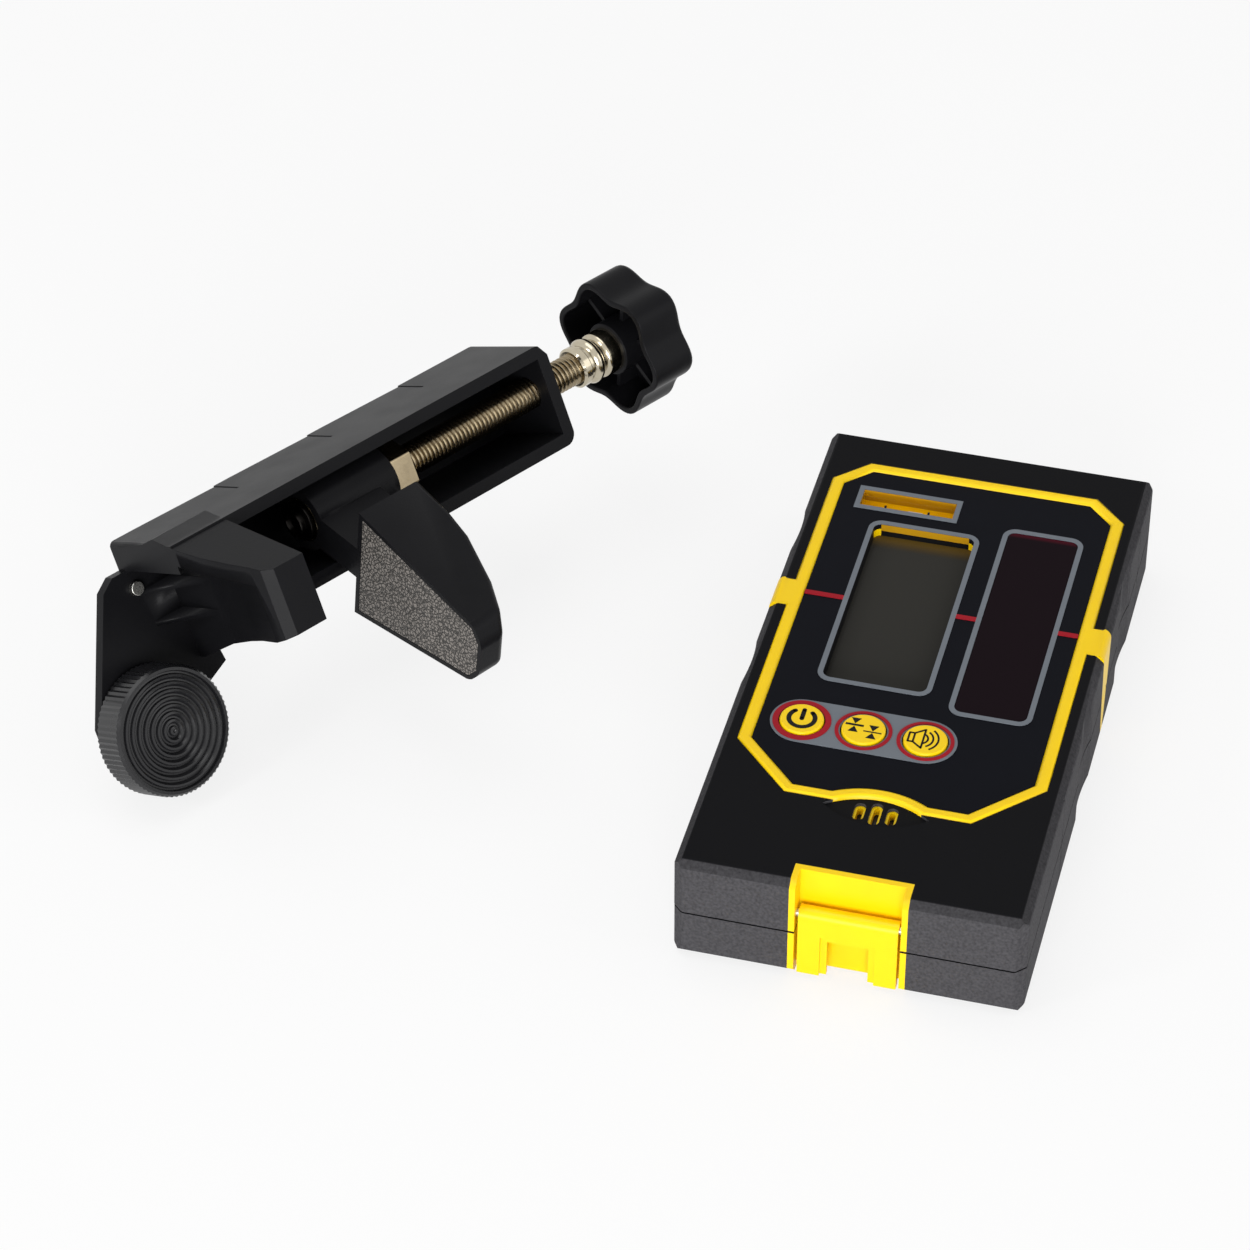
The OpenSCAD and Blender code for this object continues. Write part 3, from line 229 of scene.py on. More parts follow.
@dataclass(frozen=True)
class GripRubber(Finish):
    """Moulded grip rubber with a leather grain about a millimetre across: its creases are painted dark as shade
    and its ridges pale as painted light.
    """

    title: str
    ridge: str
    crease: str
    grain_mm: float = 0.95
    depth_mm: float = 0.22

    def shader(self, tree: bpy.types.NodeTree, place: bpy.types.Node) -> bpy.types.Node:
        """Draws wandering creases with a warped cell pattern, painting them dark as shade between pale lit ridges.
        """
        at = place.outputs["Object"]
        stray = add(tree, "TexNoise", {"Vector": at}, {"Scale": per(1.6), "Detail": 2.0})
        shift = add(tree, "VectorMath", {0: stray.outputs[1]}, {1: (-0.5, -0.5, -0.5)}, operation="ADD")
        warped = add(tree, "VectorMath", {0: shift.outputs[0], 2: at}, {1: (1.1 * MM,) * 3},
                     operation="MULTIPLY_ADD")
        cells = add(tree, "TexVoronoi", {"Vector": warped.outputs[0]}, {"Scale": per(self.grain_mm)},
                    feature="DISTANCE_TO_EDGE")
        ridge = add(tree, "MapRange", {"Value": cells.outputs[0]}, {"From Min": 0.02, "From Max": 0.22},
                    interpolation_type="SMOOTHSTEP")
        # painted shade in the creases, painted light on the ridges
        tint = add(tree, "Mix", {0: ridge.outputs[0]}, {6: linear(self.crease), 7: linear(self.ridge)},
                   data_type="RGBA")
        relief = add(tree, "Bump", {"Height": ridge.outputs[0]},
                     {"Strength": 1.0, "Distance": self.depth_mm * MM})
        return add(tree, "BsdfPrincipled", {"Base Color": tint.outputs[2], "Normal": relief.outputs[0]},
                   {"Roughness": 0.55, "Specular IOR Level": 0.35})


@dataclass(frozen=True)
class DarkPane(Finish):
    """A dark window that turns to another tone towards the housing's vial end; on the display that far tone is a
    painted reflection of the amber end wall.
    """

    title: str
    colour: str
    far: str
    low_mm: float
    high_mm: float
    rough: float = 0.1
    shine: float = 0.18

    def shader(self, tree: bpy.types.NodeTree, place: bpy.types.Node) -> bpy.types.Node:
        """Blends two tones along Y, with a faint streak of dust in the gloss."""
        at = place.outputs["Object"]
        along = add(tree, "SeparateXYZ", {0: at})
        share = add(tree, "MapRange", {"Value": along.outputs[1]},
                    {"From Min": self.low_mm * MM, "From Max": self.high_mm * MM}, interpolation_type="SMOOTHSTEP")
        tint = add(tree, "Mix", {0: share.outputs[0]}, {6: linear(self.colour), 7: linear(self.far)},
                   data_type="RGBA")
        haze = add(tree, "TexNoise", {"Vector": at}, {"Scale": per(6.0), "Detail": 5.0})
        gloss = add(tree, "MapRange", {"Value": haze.outputs[0]},
                    {"To Min": self.rough - 0.04, "To Max": self.rough + 0.08})
        return add(tree, "BsdfPrincipled", {"Base Color": tint.outputs[2], "Roughness": gloss.outputs[0]},
                   {"Specular IOR Level": self.shine})


@dataclass(frozen=True)
class ClearTube(Finish):
    """Clear acrylic filled with level fluid: it lets the pocket behind it show through."""

    title: str
    colour: str
    ior: float = 1.06

    def shader(self, tree: bpy.types.NodeTree, place: bpy.types.Node) -> bpy.types.Node:
        """Lets light through with a faint swirl in the gloss."""
        swirl = add(tree, "TexNoise", {"Vector": place.outputs["Object"]}, {"Scale": per(4.0)})
        gloss = add(tree, "MapRange", {"Value": swirl.outputs[0]}, {"To Min": 0.02, "To Max": 0.06})
        return add(tree, "BsdfPrincipled", {"Roughness": gloss.outputs[0]},
                   {"Base Color": linear(self.colour), "Transmission Weight": 1.0, "IOR": self.ior})


@dataclass(frozen=True)
class CircuitBoard(Finish):
    """Green solder mask over copper tracks, with the tracks a shade lighter."""

    title: str
    mask: str
    track: str

    def shader(self, tree: bpy.types.NodeTree, place: bpy.types.Node) -> bpy.types.Node:
        """Draws tracks as a brick pattern of 2.5 mm."""
        tracks = add(tree, "TexBrick", {"Vector": place.outputs["Object"]},
                     {"Color1": linear(self.mask), "Color2": linear(self.mask), "Mortar": linear(self.track),
                      "Scale": per(5.0), "Mortar Size": 0.05})
        relief = add(tree, "Bump", {"Height": tracks.outputs[1]}, {"Strength": 1.0, "Distance": 0.03 * MM})
        return add(tree, "BsdfPrincipled", {"Base Color": tracks.outputs[0], "Normal": relief.outputs[0]},
                   {"Roughness": 0.35, "Specular IOR Level": 0.4})


class Look(Enum):
    """Every finish on the object, with the record's slot that it belongs to."""

    # The cover's dark top and grey sides are painted shade and painted light on one black rubber.
    COVER = ("soft_cover", GrainedCover("overmoulded_rubber_grain_painted_shading", "#121214", "#2b2a2c", "#5a595c"))
    SHELL = ("yellow_shell", Moulding("yellow_abs_satin", "#fdd600", "#f6ca00", rough=0.4))
    # A darker copy of the yellow shell: painted shade for the walls of the display and vial recesses.
    SHADE = ("yellow_shell", Moulding("yellow_abs_painted_shade", "#c3920f", "#a87a08"))
    KEY = ("yellow_key", Moulding("yellow_abs_gloss", "#fbd500", "#f5ca00", rough=0.34, shine=0.3))
    GASKET = ("gasket", Moulding("gasket_rubber", "#0c0c0d", "#070708", rough=0.7, shine=0.1))
    PANEL = ("panel_film", Moulding("polycarbonate_film_satin", "#101117", "#0d0e13", rough=0.45, shine=0.03,
                                    grain_mm=0.3, depth_mm=0.006))
    GREY = ("grey_print", Moulding("grey_screen_ink", "#737980", "#696e75", rough=0.5, shine=0.1))
    RED = ("red_print", Moulding("red_screen_ink", "#a31a27", "#901722", rough=0.5, shine=0.1))
    FILTER = ("sensor_filter", DarkPane("infrared_filter_acrylic", "#180f14", "#43101c", 49.6, 51.2, shine=0.02))
    VIAL = ("vial_glass", ClearTube("vial_acrylic", "#fffcf0"))
    # Black ink: real print on the keys and the vial, and painted shade on the display's recess walls.
    INK_AND_SHADE = ("black_line", Moulding("black_screen_ink_and_painted_shade", "#121214", "#0b0b0c", rough=0.5, shine=0.1))
    # The display's yellow-brown far tone is a painted reflection of the amber end wall.
    DISPLAY = ("display_glass", DarkPane("polished_display_glass_painted_reflection", "#343330", "#5c491f", 41.5, 46.8, shine=0.02))
    # White plastic of the holder, also used for the painted glint on the vial.
    HOLDER_AND_GLINT = ("white_holder", Moulding("white_abs_and_painted_glint", "#e2e1da", "#d6d5cd"))
    BOARD = ("circuit_board", CircuitBoard("solder_mask_board", "#1f5a2c", "#2f7a3c"))
    CHIP = ("black_chip", Moulding("epoxy_package", "#17171b", "#101013", rough=0.3))
    STEEL = ("zinc_steel", TurnedMetal("zinc_plated_steel", "#d5d4ce", "#bdbcb7", rough=0.26))
    OXIDE = ("zinc_steel", TurnedMetal("black_oxide_steel", "#2c2a28", "#1a1918", rough=0.28))
    BRASS = ("turned_brass", TurnedMetal("lathe_turned_brass", "#d3bd86", "#b89f68"))
    THREAD = ("nickel_thread", TurnedMetal("nickel_plated_thread", "#a5977c", "#7d705a", rough=0.2))
    NICKEL = ("nickel_thread", TurnedMetal("nickel_plated_turning", "#c9c1ae", "#aaa08a", rough=0.15))
    BATTERY = ("battery_case", Moulding("painted_battery_case", "#4a4d52", "#43464a", rough=0.35))
    CLAMP = ("clamp_black", Moulding("glass_filled_nylon", "#161618", "#101012", rough=0.34, shine=0.07,
                                     grain_mm=0.4, depth_mm=0.02))
    # Same black nylon as the clamp with more shine; its slightly lighter colour is painted light on the
    # thumbwheel.
    WHEEL = ("clamp_black", Moulding("glass_filled_nylon_polished_painted_light", "#1c1c1e", "#151517", rough=0.28, shine=0.4,
                                     grain_mm=0.4, depth_mm=0.01))
    GRIP = ("grip_pad", GripRubber("leather_grain_rubber", "#75706b", "#2c2a28"))

    @property
    def slot(self) -> str:
        """Name of the record's material slot."""
        return self.value[0]

    def material(self) -> bpy.types.Material:
        """Material of this finish."""
        return self.value[1].material()


@dataclass(frozen=True)
class Rounding:
    """One pass of rounded edges on a copy of a solid: the radius in millimetres and the edges that take it."""

    radius: float
    pick: Callable[[Vector, Vector], bool]
    steps: int = 3
    sharper_than: float = 24.0

    def cut(self, bm: bmesh.types.BMesh) -> None:
        """Rounds the ridges that pick accepts by an edge's middle and its run, and clears faces of no width."""
        chosen = []
        for edge in bm.edges:
            if len(edge.link_faces) != 2 or not edge.is_convex:
                continue
            if edge.calc_face_angle(0.0) < math.radians(self.sharper_than):
                continue
            a, b = (v.co for v in edge.verts)
            if self.pick((a + b) / 2, Vector(map(abs, b - a))):
                chosen.append(edge)
        bmesh.ops.bevel(bm, geom=chosen, offset=self.radius, offset_type="OFFSET", segments=self.steps,
                        profile=0.5, affect="EDGES", clamp_overlap=True, material=-1)
        bmesh.ops.dissolve_degenerate(bm, dist=WELD_MM, edges=bm.edges)


@dataclass(frozen=True)
class Bench:
    """A place to model in millimetres, with the matrix that lays its work in the row frame."""

    to_row: Matrix

    def copy(self, node: str, *roundings: Rounding) -> bmesh.types.BMesh:
        """Copies a solid onto the bench and rounds its edges.

        Args:
            node: CAD node to copy.
            *roundings: Passes of rounding, in order.

        Returns:
            The copy, in millimetres.
        """
        bm = bmesh.new()
        bm.from_mesh(frame["nodes"][node].data)
        bm.transform(self.to_row.inverted())
        bmesh.ops.remove_doubles(bm, verts=bm.verts, dist=WELD_MM)
        bmesh.ops.dissolve_limit(bm, angle_limit=math.radians(COPLANAR_DEG), verts=bm.verts,
                                 edges=bm.edges)
        for rounding in roundings:
            rounding.cut(bm)
        return bm

    def place(self, name: str, bm: bmesh.types.BMesh, body: str, look: Look,
              stands_for: Iterable[str] = (), smooth_under: float = 38.0,
              flat_over: float = math.inf) -> bpy.types.Object:
        """Turns a bmesh into a piece that rides on a body.

        Args:
            name: Name of the piece.
            bm: Mesh in the bench's millimetres; it is used up.
            body: CAD body that carries the piece.
            look: Finish of the piece.
            stands_for: CAD nodes that the piece takes the place of.
            smooth_under: Angle in degrees under which faces shade as one surface.
            flat_over: Area in square metres over which a face shades flat.

        Returns:
            The new object.
        """
        bm.transform(self.to_row)
        mesh = bpy.data.meshes.new(name)
        bm.to_mesh(mesh)
        bm.free()
        mesh.shade_smooth()
        for face in mesh.polygons:
            face.use_smooth = face.area < flat_over
        mesh.set_sharp_from_angle(angle=math.radians(smooth_under))
        mesh.materials.append(look.material())
        piece = bpy.data.objects.new(name, mesh)
        bpy.context.scene.collection.objects.link(piece)
        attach(piece, body)
        look.slot
        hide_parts(*stands_for)
        even = piece.modifiers.new("even_shading", "WEIGHTED_NORMAL")
        even.keep_sharp, even.weight = True, 90
        log.info("%s on %s: %d faces", name, body, len(mesh.polygons))
        return piece


def lathe(bm: bmesh.types.BMesh, profile: Sequence[tuple[float, float]], steps: int = 64) -> None:
    """Spins a profile round Z into a closed solid.

    Args:
        bm: Mesh that takes the solid.
        profile: Radius and height of each corner, from axis to axis.
        steps: Faces round the axis.
    """
    verts = [bm.verts.new((r, 0, z)) for r, z in profile]
    edges = [bm.edges.new(pair) for pair in zip(verts, verts[1:])]
    bmesh.ops.spin(bm, geom=verts + edges, cent=(0, 0, 0), axis=(0, 0, 1), angle=math.tau, steps=steps,
                   use_merge=True)
    bmesh.ops.remove_doubles(bm, verts=bm.verts, dist=SPIN_WELD_MM)
    bmesh.ops.recalc_face_normals(bm, faces=bm.faces)


def helix(bm: bmesh.types.BMesh, core: float, crest: float, pitch: float, low: float, high: float,
          steps: int = 28) -> None:
    """Winds a right-handed thread round Z between two heights, closed at both ends.

    Args:
        bm: Empty mesh that takes the thread.
        core: Radius at the root of the thread.
        crest: Radius at its crest.
        pitch: Rise of one turn.
        low: Height of the lower end.
        high: Height of the upper end.
        steps: Faces in one turn.
    """
    turns = math.ceil((high - low) / pitch) + 2
    start = low - 1.5 * pitch
    shape = ((core, 0.0), (core, 0.1), (crest, 0.44), (crest, 0.66), (core, 1.0))
    verts = [bm.verts.new((r, 0, start + share * pitch)) for r, share in shape]
    edges = [bm.edges.new(pair) for pair in zip(verts, verts[1:])]
    bmesh.ops.spin(bm, geom=verts + edges, cent=(0, 0, 0), axis=(0, 0, 1), dvec=(0, 0, pitch / steps),
                   angle=turns * math.tau, steps=turns * steps)
    bmesh.ops.remove_doubles(bm, verts=bm.verts, dist=SPIN_WELD_MM)
    for height, way in ((low, -1), (high, 1)):
        bmesh.ops.bisect_plane(bm, geom=bm.verts[:] + bm.edges[:] + bm.faces[:], plane_co=(0, 0, height),
                               plane_no=(0, 0, way), clear_outer=True)
    bmesh.ops.holes_fill(bm, edges=[e for e in bm.edges if e.is_boundary], sides=0)
    bmesh.ops.recalc_face_normals(bm, faces=bm.faces)


def beam(bm: bmesh.types.BMesh, start: Point, end: Point, width: float, low: float, high: float) -> None:
    """Adds a flat straight stroke between two points of the XY plane.

    Args:
        bm: Mesh that takes the stroke.
        start: First end, in X and Y.
        end: Second end, in X and Y.
        width: Width of the stroke.
        low: Height of its underside.
        high: Height of its upper side.
    """
    a, b = Vector(start), Vector(end)
    turn = Matrix.Rotation(math.atan2(b.y - a.y, b.x - a.x), 4, "Z")
    middle = Matrix.Translation(((a.x + b.x) / 2, (a.y + b.y) / 2, (low + high) / 2))
    size = Matrix.Diagonal(((b - a).length, width, high - low, 1))
    bmesh.ops.create_cube(bm, size=1, matrix=middle @ turn @ size)


def disc(bm: bmesh.types.BMesh, centre: Point, radius: float, sides: int, low: float, high: float) -> None:
    """Adds a flat upright prism with a regular outline."""
    place = Matrix.Translation((centre[0], centre[1], (low + high) / 2))
    bmesh.ops.create_cone(bm, cap_ends=True, segments=sides, radius1=radius, radius2=radius,
                          depth=high - low, matrix=place)


def prism(bm: bmesh.types.BMesh, corners: Sequence[Point], low: float, high: float) -> None:
    """Adds a flat upright prism with an outline of a few corners, in X and Y."""
    face = bm.faces.new([bm.verts.new((x, y, low)) for x, y in corners])
    top = bmesh.ops.extrude_face_region(bm, geom=[face], use_keep_orig=True)["geom"]
    bmesh.ops.translate(bm, verts=[v for v in top if isinstance(v, bmesh.types.BMVert)], vec=(0, 0, high - low))
    bmesh.ops.recalc_face_normals(bm, faces=bm.faces)


def arc(bm: bmesh.types.BMesh, centre: Point, radius: float, width: float, start: float, sweep: float,
        low: float, high: float, steps: int = 28) -> None:
    """Adds a flat curved stroke.

    Args:
        bm: Mesh that takes the stroke.
        centre: Middle of the circle, in X and Y.
        radius: Radius of the stroke's own middle line.
        width: Width of the stroke.
        start: Angle of its first end, in degrees from X.
        sweep: Angle that it runs through, in degrees.
        low: Height of its underside.
        high: Height of its upper side.
        steps: Faces along it.
    """
    turn = Matrix.Translation((*centre, 0)) @ Matrix.Rotation(math.radians(start), 4, "Z")
    corners = [(radius + i * width / 2, 0, z) for i, z in ((-1, low), (1, low), (1, high), (-1, high))]
    verts = [bm.verts.new(turn @ Vector(c)) for c in corners]
    face = bm.faces.new(verts)
    bmesh.ops.spin(bm, geom=verts + face.edges[:] + [face], cent=(*centre, 0), axis=(0, 0, 1),
                   angle=math.radians(sweep), steps=steps)
    bmesh.ops.recalc_face_normals(bm, faces=bm.faces)


RECEIVER = Bench(Matrix.Scale(MM, 4))


@dataclass(frozen=True)
class Housing:
    """The receiver's covers, shells and latch."""

    half_w: float = 40.0
    half_l: float = 80.65
    top: float = 28.5
    cover_top: float = 28.2
    seam: float = 13.3
    edge_cut: float = 2.0
    latch_half: float = 14.5
    long_run: float = 4.0
    smooth_under: float = 30.0
    flat_over: float = 3e-5
    bezel_slope: float = 0.8
    bezel_fall: float = 0.55

    def outer(self, mid: Vector, run: Vector) -> bool:
        """Tells whether an edge is a long one on a cover's skin, clear of seam, latch, grooves and scallops."""
        x, y = abs(mid.x), abs(mid.y)
        skin = x > self.half_w - 0.1 or y > self.half_l - 0.1 or not 0.1 < mid.z < self.cover_top - 0.1
        rim = x > self.half_w - self.edge_cut - 0.3 or y > self.half_l - self.edge_cut - 0.5
        clear = abs(mid.z - self.seam) > 0.8 and (x > self.latch_half or mid.y > 0)
        upright = run.z > self.long_run and y < self.half_l - self.edge_cut - 0.5
        grooved = mid.z < self.seam and run.y > self.long_run and x > self.half_w - 0.1
        return skin and rim and clear and not upright and not grooved and run.length > self.long_run

    def build(self) -> None:
        """Makes the two covers, the two shells and the latch."""
        rounded = Rounding(0.55, self.outer, 5)
        for node in ("front_cover", "rear_cover"):
            RECEIVER.place(node + "_soft", RECEIVER.copy(node, rounded), "receiver", Look.COVER, [node],
                           self.smooth_under, self.flat_over)
        RECEIVER.place("bezel_shell", self.bezel(), "receiver", Look.SHELL, ["front_shell"])
        RECEIVER.place("buzzer_case", RECEIVER.copy("buzzer"), "receiver", Look.CHIP, ["buzzer"])
        tabs = Rounding(0.4, lambda mid, run: abs(mid.x) > self.half_w - 0.1 and run.length > 1.5)
        RECEIVER.place("rear_shell_soft", RECEIVER.copy("rear_shell", tabs), "receiver", Look.SHELL,
                       ["rear_shell"])
        latch = Rounding(0.5, lambda mid, run: run.length > 1.2)
        RECEIVER.place("latch_soft", RECEIVER.copy("latch", latch), "latch_lever", Look.KEY, ["latch"])

    def bezel(self) -> bmesh.types.BMesh:
        """Copies the front shell, rounds its tabs over the side and slopes both flanks of its bezel."""
        over_side = Rounding(2.2, lambda mid, run: abs(mid.x) > self.half_w - 0.1 and mid.z > self.top - 0.1, 5)
        bm = RECEIVER.copy("front_shell", over_side)
        ridge = [f for f in bm.faces if f.normal.z > 0.99 and abs(f.calc_center_median().z - self.top) < 0.02]
        ring = bmesh.ops.inset_region(bm, faces=ridge, thickness=self.bezel_slope, use_boundary=True,
                                      use_even_offset=True)["faces"]
        crown = {v for f in ridge for v in f.verts}
        foot = {v for f in ring for v in f.verts} - crown
        bmesh.ops.translate(bm, verts=list(foot), vec=(0, 0, -self.bezel_fall))
        return bm


@dataclass(frozen=True)
class Keys:
    """The three push buttons, the rings printed round them and the signs printed on them."""

    cap_round: float = 0.45
    ink: float = 0.06

    def build(self) -> None:
        """Makes the caps and prints their rings and signs."""
        print_low, print_high = (corner.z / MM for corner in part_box("key_rings"))
        for node, body, sign, inner, outer, prints in (
                ("power_button", "power_key", self.power, 5.4, 6.75, ["key_rings"]),
                ("accuracy_button", "accuracy_key", self.accuracy, 5.75, 6.6, []),
                ("volume_button", "volume_key", self.volume, 5.75, 6.6, [])):
            low, high = (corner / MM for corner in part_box(node))
            crown = Rounding(self.cap_round, lambda mid, run, top=high.z: mid.z > top - 0.05)
            RECEIVER.place(node + "_cap", RECEIVER.copy(node, crown), body, Look.KEY, [node])
            centre = (low + high) / 2
            bm = bmesh.new()
            sign(bm)
            bmesh.ops.translate(bm, verts=bm.verts, vec=(centre.x, centre.y, high.z))
            RECEIVER.place(node + "_sign", bm, body, Look.INK_AND_SHADE)
            bm = bmesh.new()
            lathe(bm, [(inner, print_low), (outer, print_low), (outer, print_high), (inner, print_high),
                       (inner, print_low)])
            bmesh.ops.translate(bm, verts=bm.verts, vec=(centre.x, centre.y, 0))
            RECEIVER.place(node + "_ring", bm, "receiver", Look.RED, prints)

    def power(self, bm: bmesh.types.BMesh) -> None:
        """Draws an open ring with an upright stroke in its gap."""
        low, high = -self.ink, self.ink
        arc(bm, (0, 0), 3.0, 1.1, 132, 276, low, high, 40)
        for angle in (132, 48):
            end = math.radians(angle)
            disc(bm, (3.0 * math.cos(end), 3.0 * math.sin(end)), 0.55, 20, low, high)
        beam(bm, (0, -0.2), (0, 2.9), 1.05, low, high)
        for y in (-0.2, 2.9):
            disc(bm, (0, y), 0.525, 20, low, high)

    def accuracy(self, bm: bmesh.types.BMesh) -> None:
        """Draws two lines, coarse and fine, each between two facing arrowheads."""
        low, high = -self.ink, self.ink
        for x, y, width in ((-2.25, 0.85, 0.62), (2.2, -0.75, 0.34)):
            beam(bm, (x - 2.1, y), (x + 2.1, y), width, low, high)
            for way in (-1, 1):
                tip = y + way * (width / 2 + 0.15)
                prism(bm, ((x, tip), (x + 1.15, tip + way * 1.9), (x - 1.15, tip + way * 1.9)), low, high)

    def volume(self, bm: bmesh.types.BMesh) -> None:
        """Draws a loudspeaker in outline and three sound waves."""
        low, high = -self.ink, self.ink
        corners = ((-3.9, 1.5), (-2.7, 1.5), (-0.5, 3.2), (-0.5, -3.2), (-2.7, -1.5), (-3.9, -1.5))
        for a, b in zip(corners, corners[1:] + corners[:1]):
            beam(bm, a, b, 0.46, low, high)
        beam(bm, (-2.7, 1.5), (-2.7, -1.5), 0.46, low, high)
        for corner in corners:
            disc(bm, corner, 0.23, 12, low, high)
        for radius, spread in ((1.75, 62), (2.95, 56), (4.15, 52)):
            arc(bm, (-1.2, 0), radius, 0.45, -spread, 2 * spread, low, high, 18)


@dataclass(frozen=True)
class Windows:
    """What lines the recesses of the display and the vial: amber strips painted as shade on the yellow walls, and
    black strips painted as deeper shade.
    """

    display: tuple[float, float, float, float] = (-22.1, 2.4, -11.15, 46.75)
    vial: tuple[float, float, float, float] = (-27.3, -4.5, 52.8, 58.8)
    glass: float = 24.6
    shade: float = 26.1
    rim: float = 27.95
    film: float = 0.12

    def build(self) -> None:
        """Makes the liners from thin strips."""
        x0, x1, y0, y1 = self.display
        # Painted shade: the upper part of the display's end wall in the darker amber copy of the yellow.
        bm = bmesh.new()
        beam(bm, (x0, y1), (x1, y1), self.film, self.shade, self.rim)
        RECEIVER.place("display_end_wall_painted_shade", bm, "receiver", Look.SHADE)
        # Painted shade: black strips on the display's side walls and on the lower part of its end wall.
        bm = bmesh.new()
        for a, b, top in (((x0, y0), (x0, y1), self.rim), ((x1, y0), (x1, y1), self.rim),
                          ((x0, y0), (x1, y0), self.rim), ((x0, y1), (x1, y1), self.shade)):
            beam(bm, a, b, self.film, self.glass, top)
        RECEIVER.place("display_side_walls_painted_shade", bm, "receiver", Look.INK_AND_SHADE)
        x0, x1, y0, y1 = self.vial
        # Painted shade: amber strips on three walls of the vial pocket.
        bm = bmesh.new()
        for a, b in (((x0, y1), (x1, y1)), ((x0, y0), (x0, y1)), ((x1, y0), (x1, y1))):
            beam(bm, a, b, self.film, self.glass, self.rim)
        RECEIVER.place("vial_window_walls_painted_shade", bm, "receiver", Look.SHADE)


@dataclass(frozen=True)
class Vial:
    """The level vial: a filled tube, the marks on it and a white strip painted as the glint of its bubble."""

    mark_gap: float = 10.6
    mark_w: float = 0.5
    glint_l: float = 3.5

    def build(self) -> None:
        """Makes the tube with domed ends, the marks, and the painted glint on its front."""
        low, high = (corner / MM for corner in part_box("level_vial"))
        centre, size = (low + high) / 2, high - low
        along = Matrix.Translation(centre) @ Matrix.Rotation(math.pi / 2, 4, "Y")
        half, r = size.x / 2, size.y / 2
        bm = bmesh.new()
        lathe(bm, [(0, -half), (r - 0.5, -half), (r, 0.5 - half), (r, half - 0.5), (r - 0.5, half), (0, half)], 48)
        bmesh.ops.transform(bm, matrix=along, verts=bm.verts)
        RECEIVER.place("vial_tube", bm, "receiver", Look.VIAL, ["level_vial"])
        front, top = centre.y - 0.62 * r, centre.z + 0.79 * r
        bm = bmesh.new()
        for way in (-1, 1):
            x = centre.x + way * self.mark_gap / 2
            beam(bm, (x - self.mark_w / 2, front), (x + self.mark_w / 2, front), 0.6, top - 0.5, top + 0.1)
        RECEIVER.place("vial_marks", bm, "receiver", Look.INK_AND_SHADE, ["vial_lines"])
        # Painted highlight: a white strip standing in for the glint on the bubble.
        bm = bmesh.new()
        x = centre.x + self.mark_gap / 2 - 1.4
        beam(bm, (x - self.glint_l, front - 0.4), (x, front - 0.4), 0.3, top - 0.5, top - 0.1)
        RECEIVER.place("vial_painted_glint", bm, "receiver", Look.HOLDER_AND_GLINT)


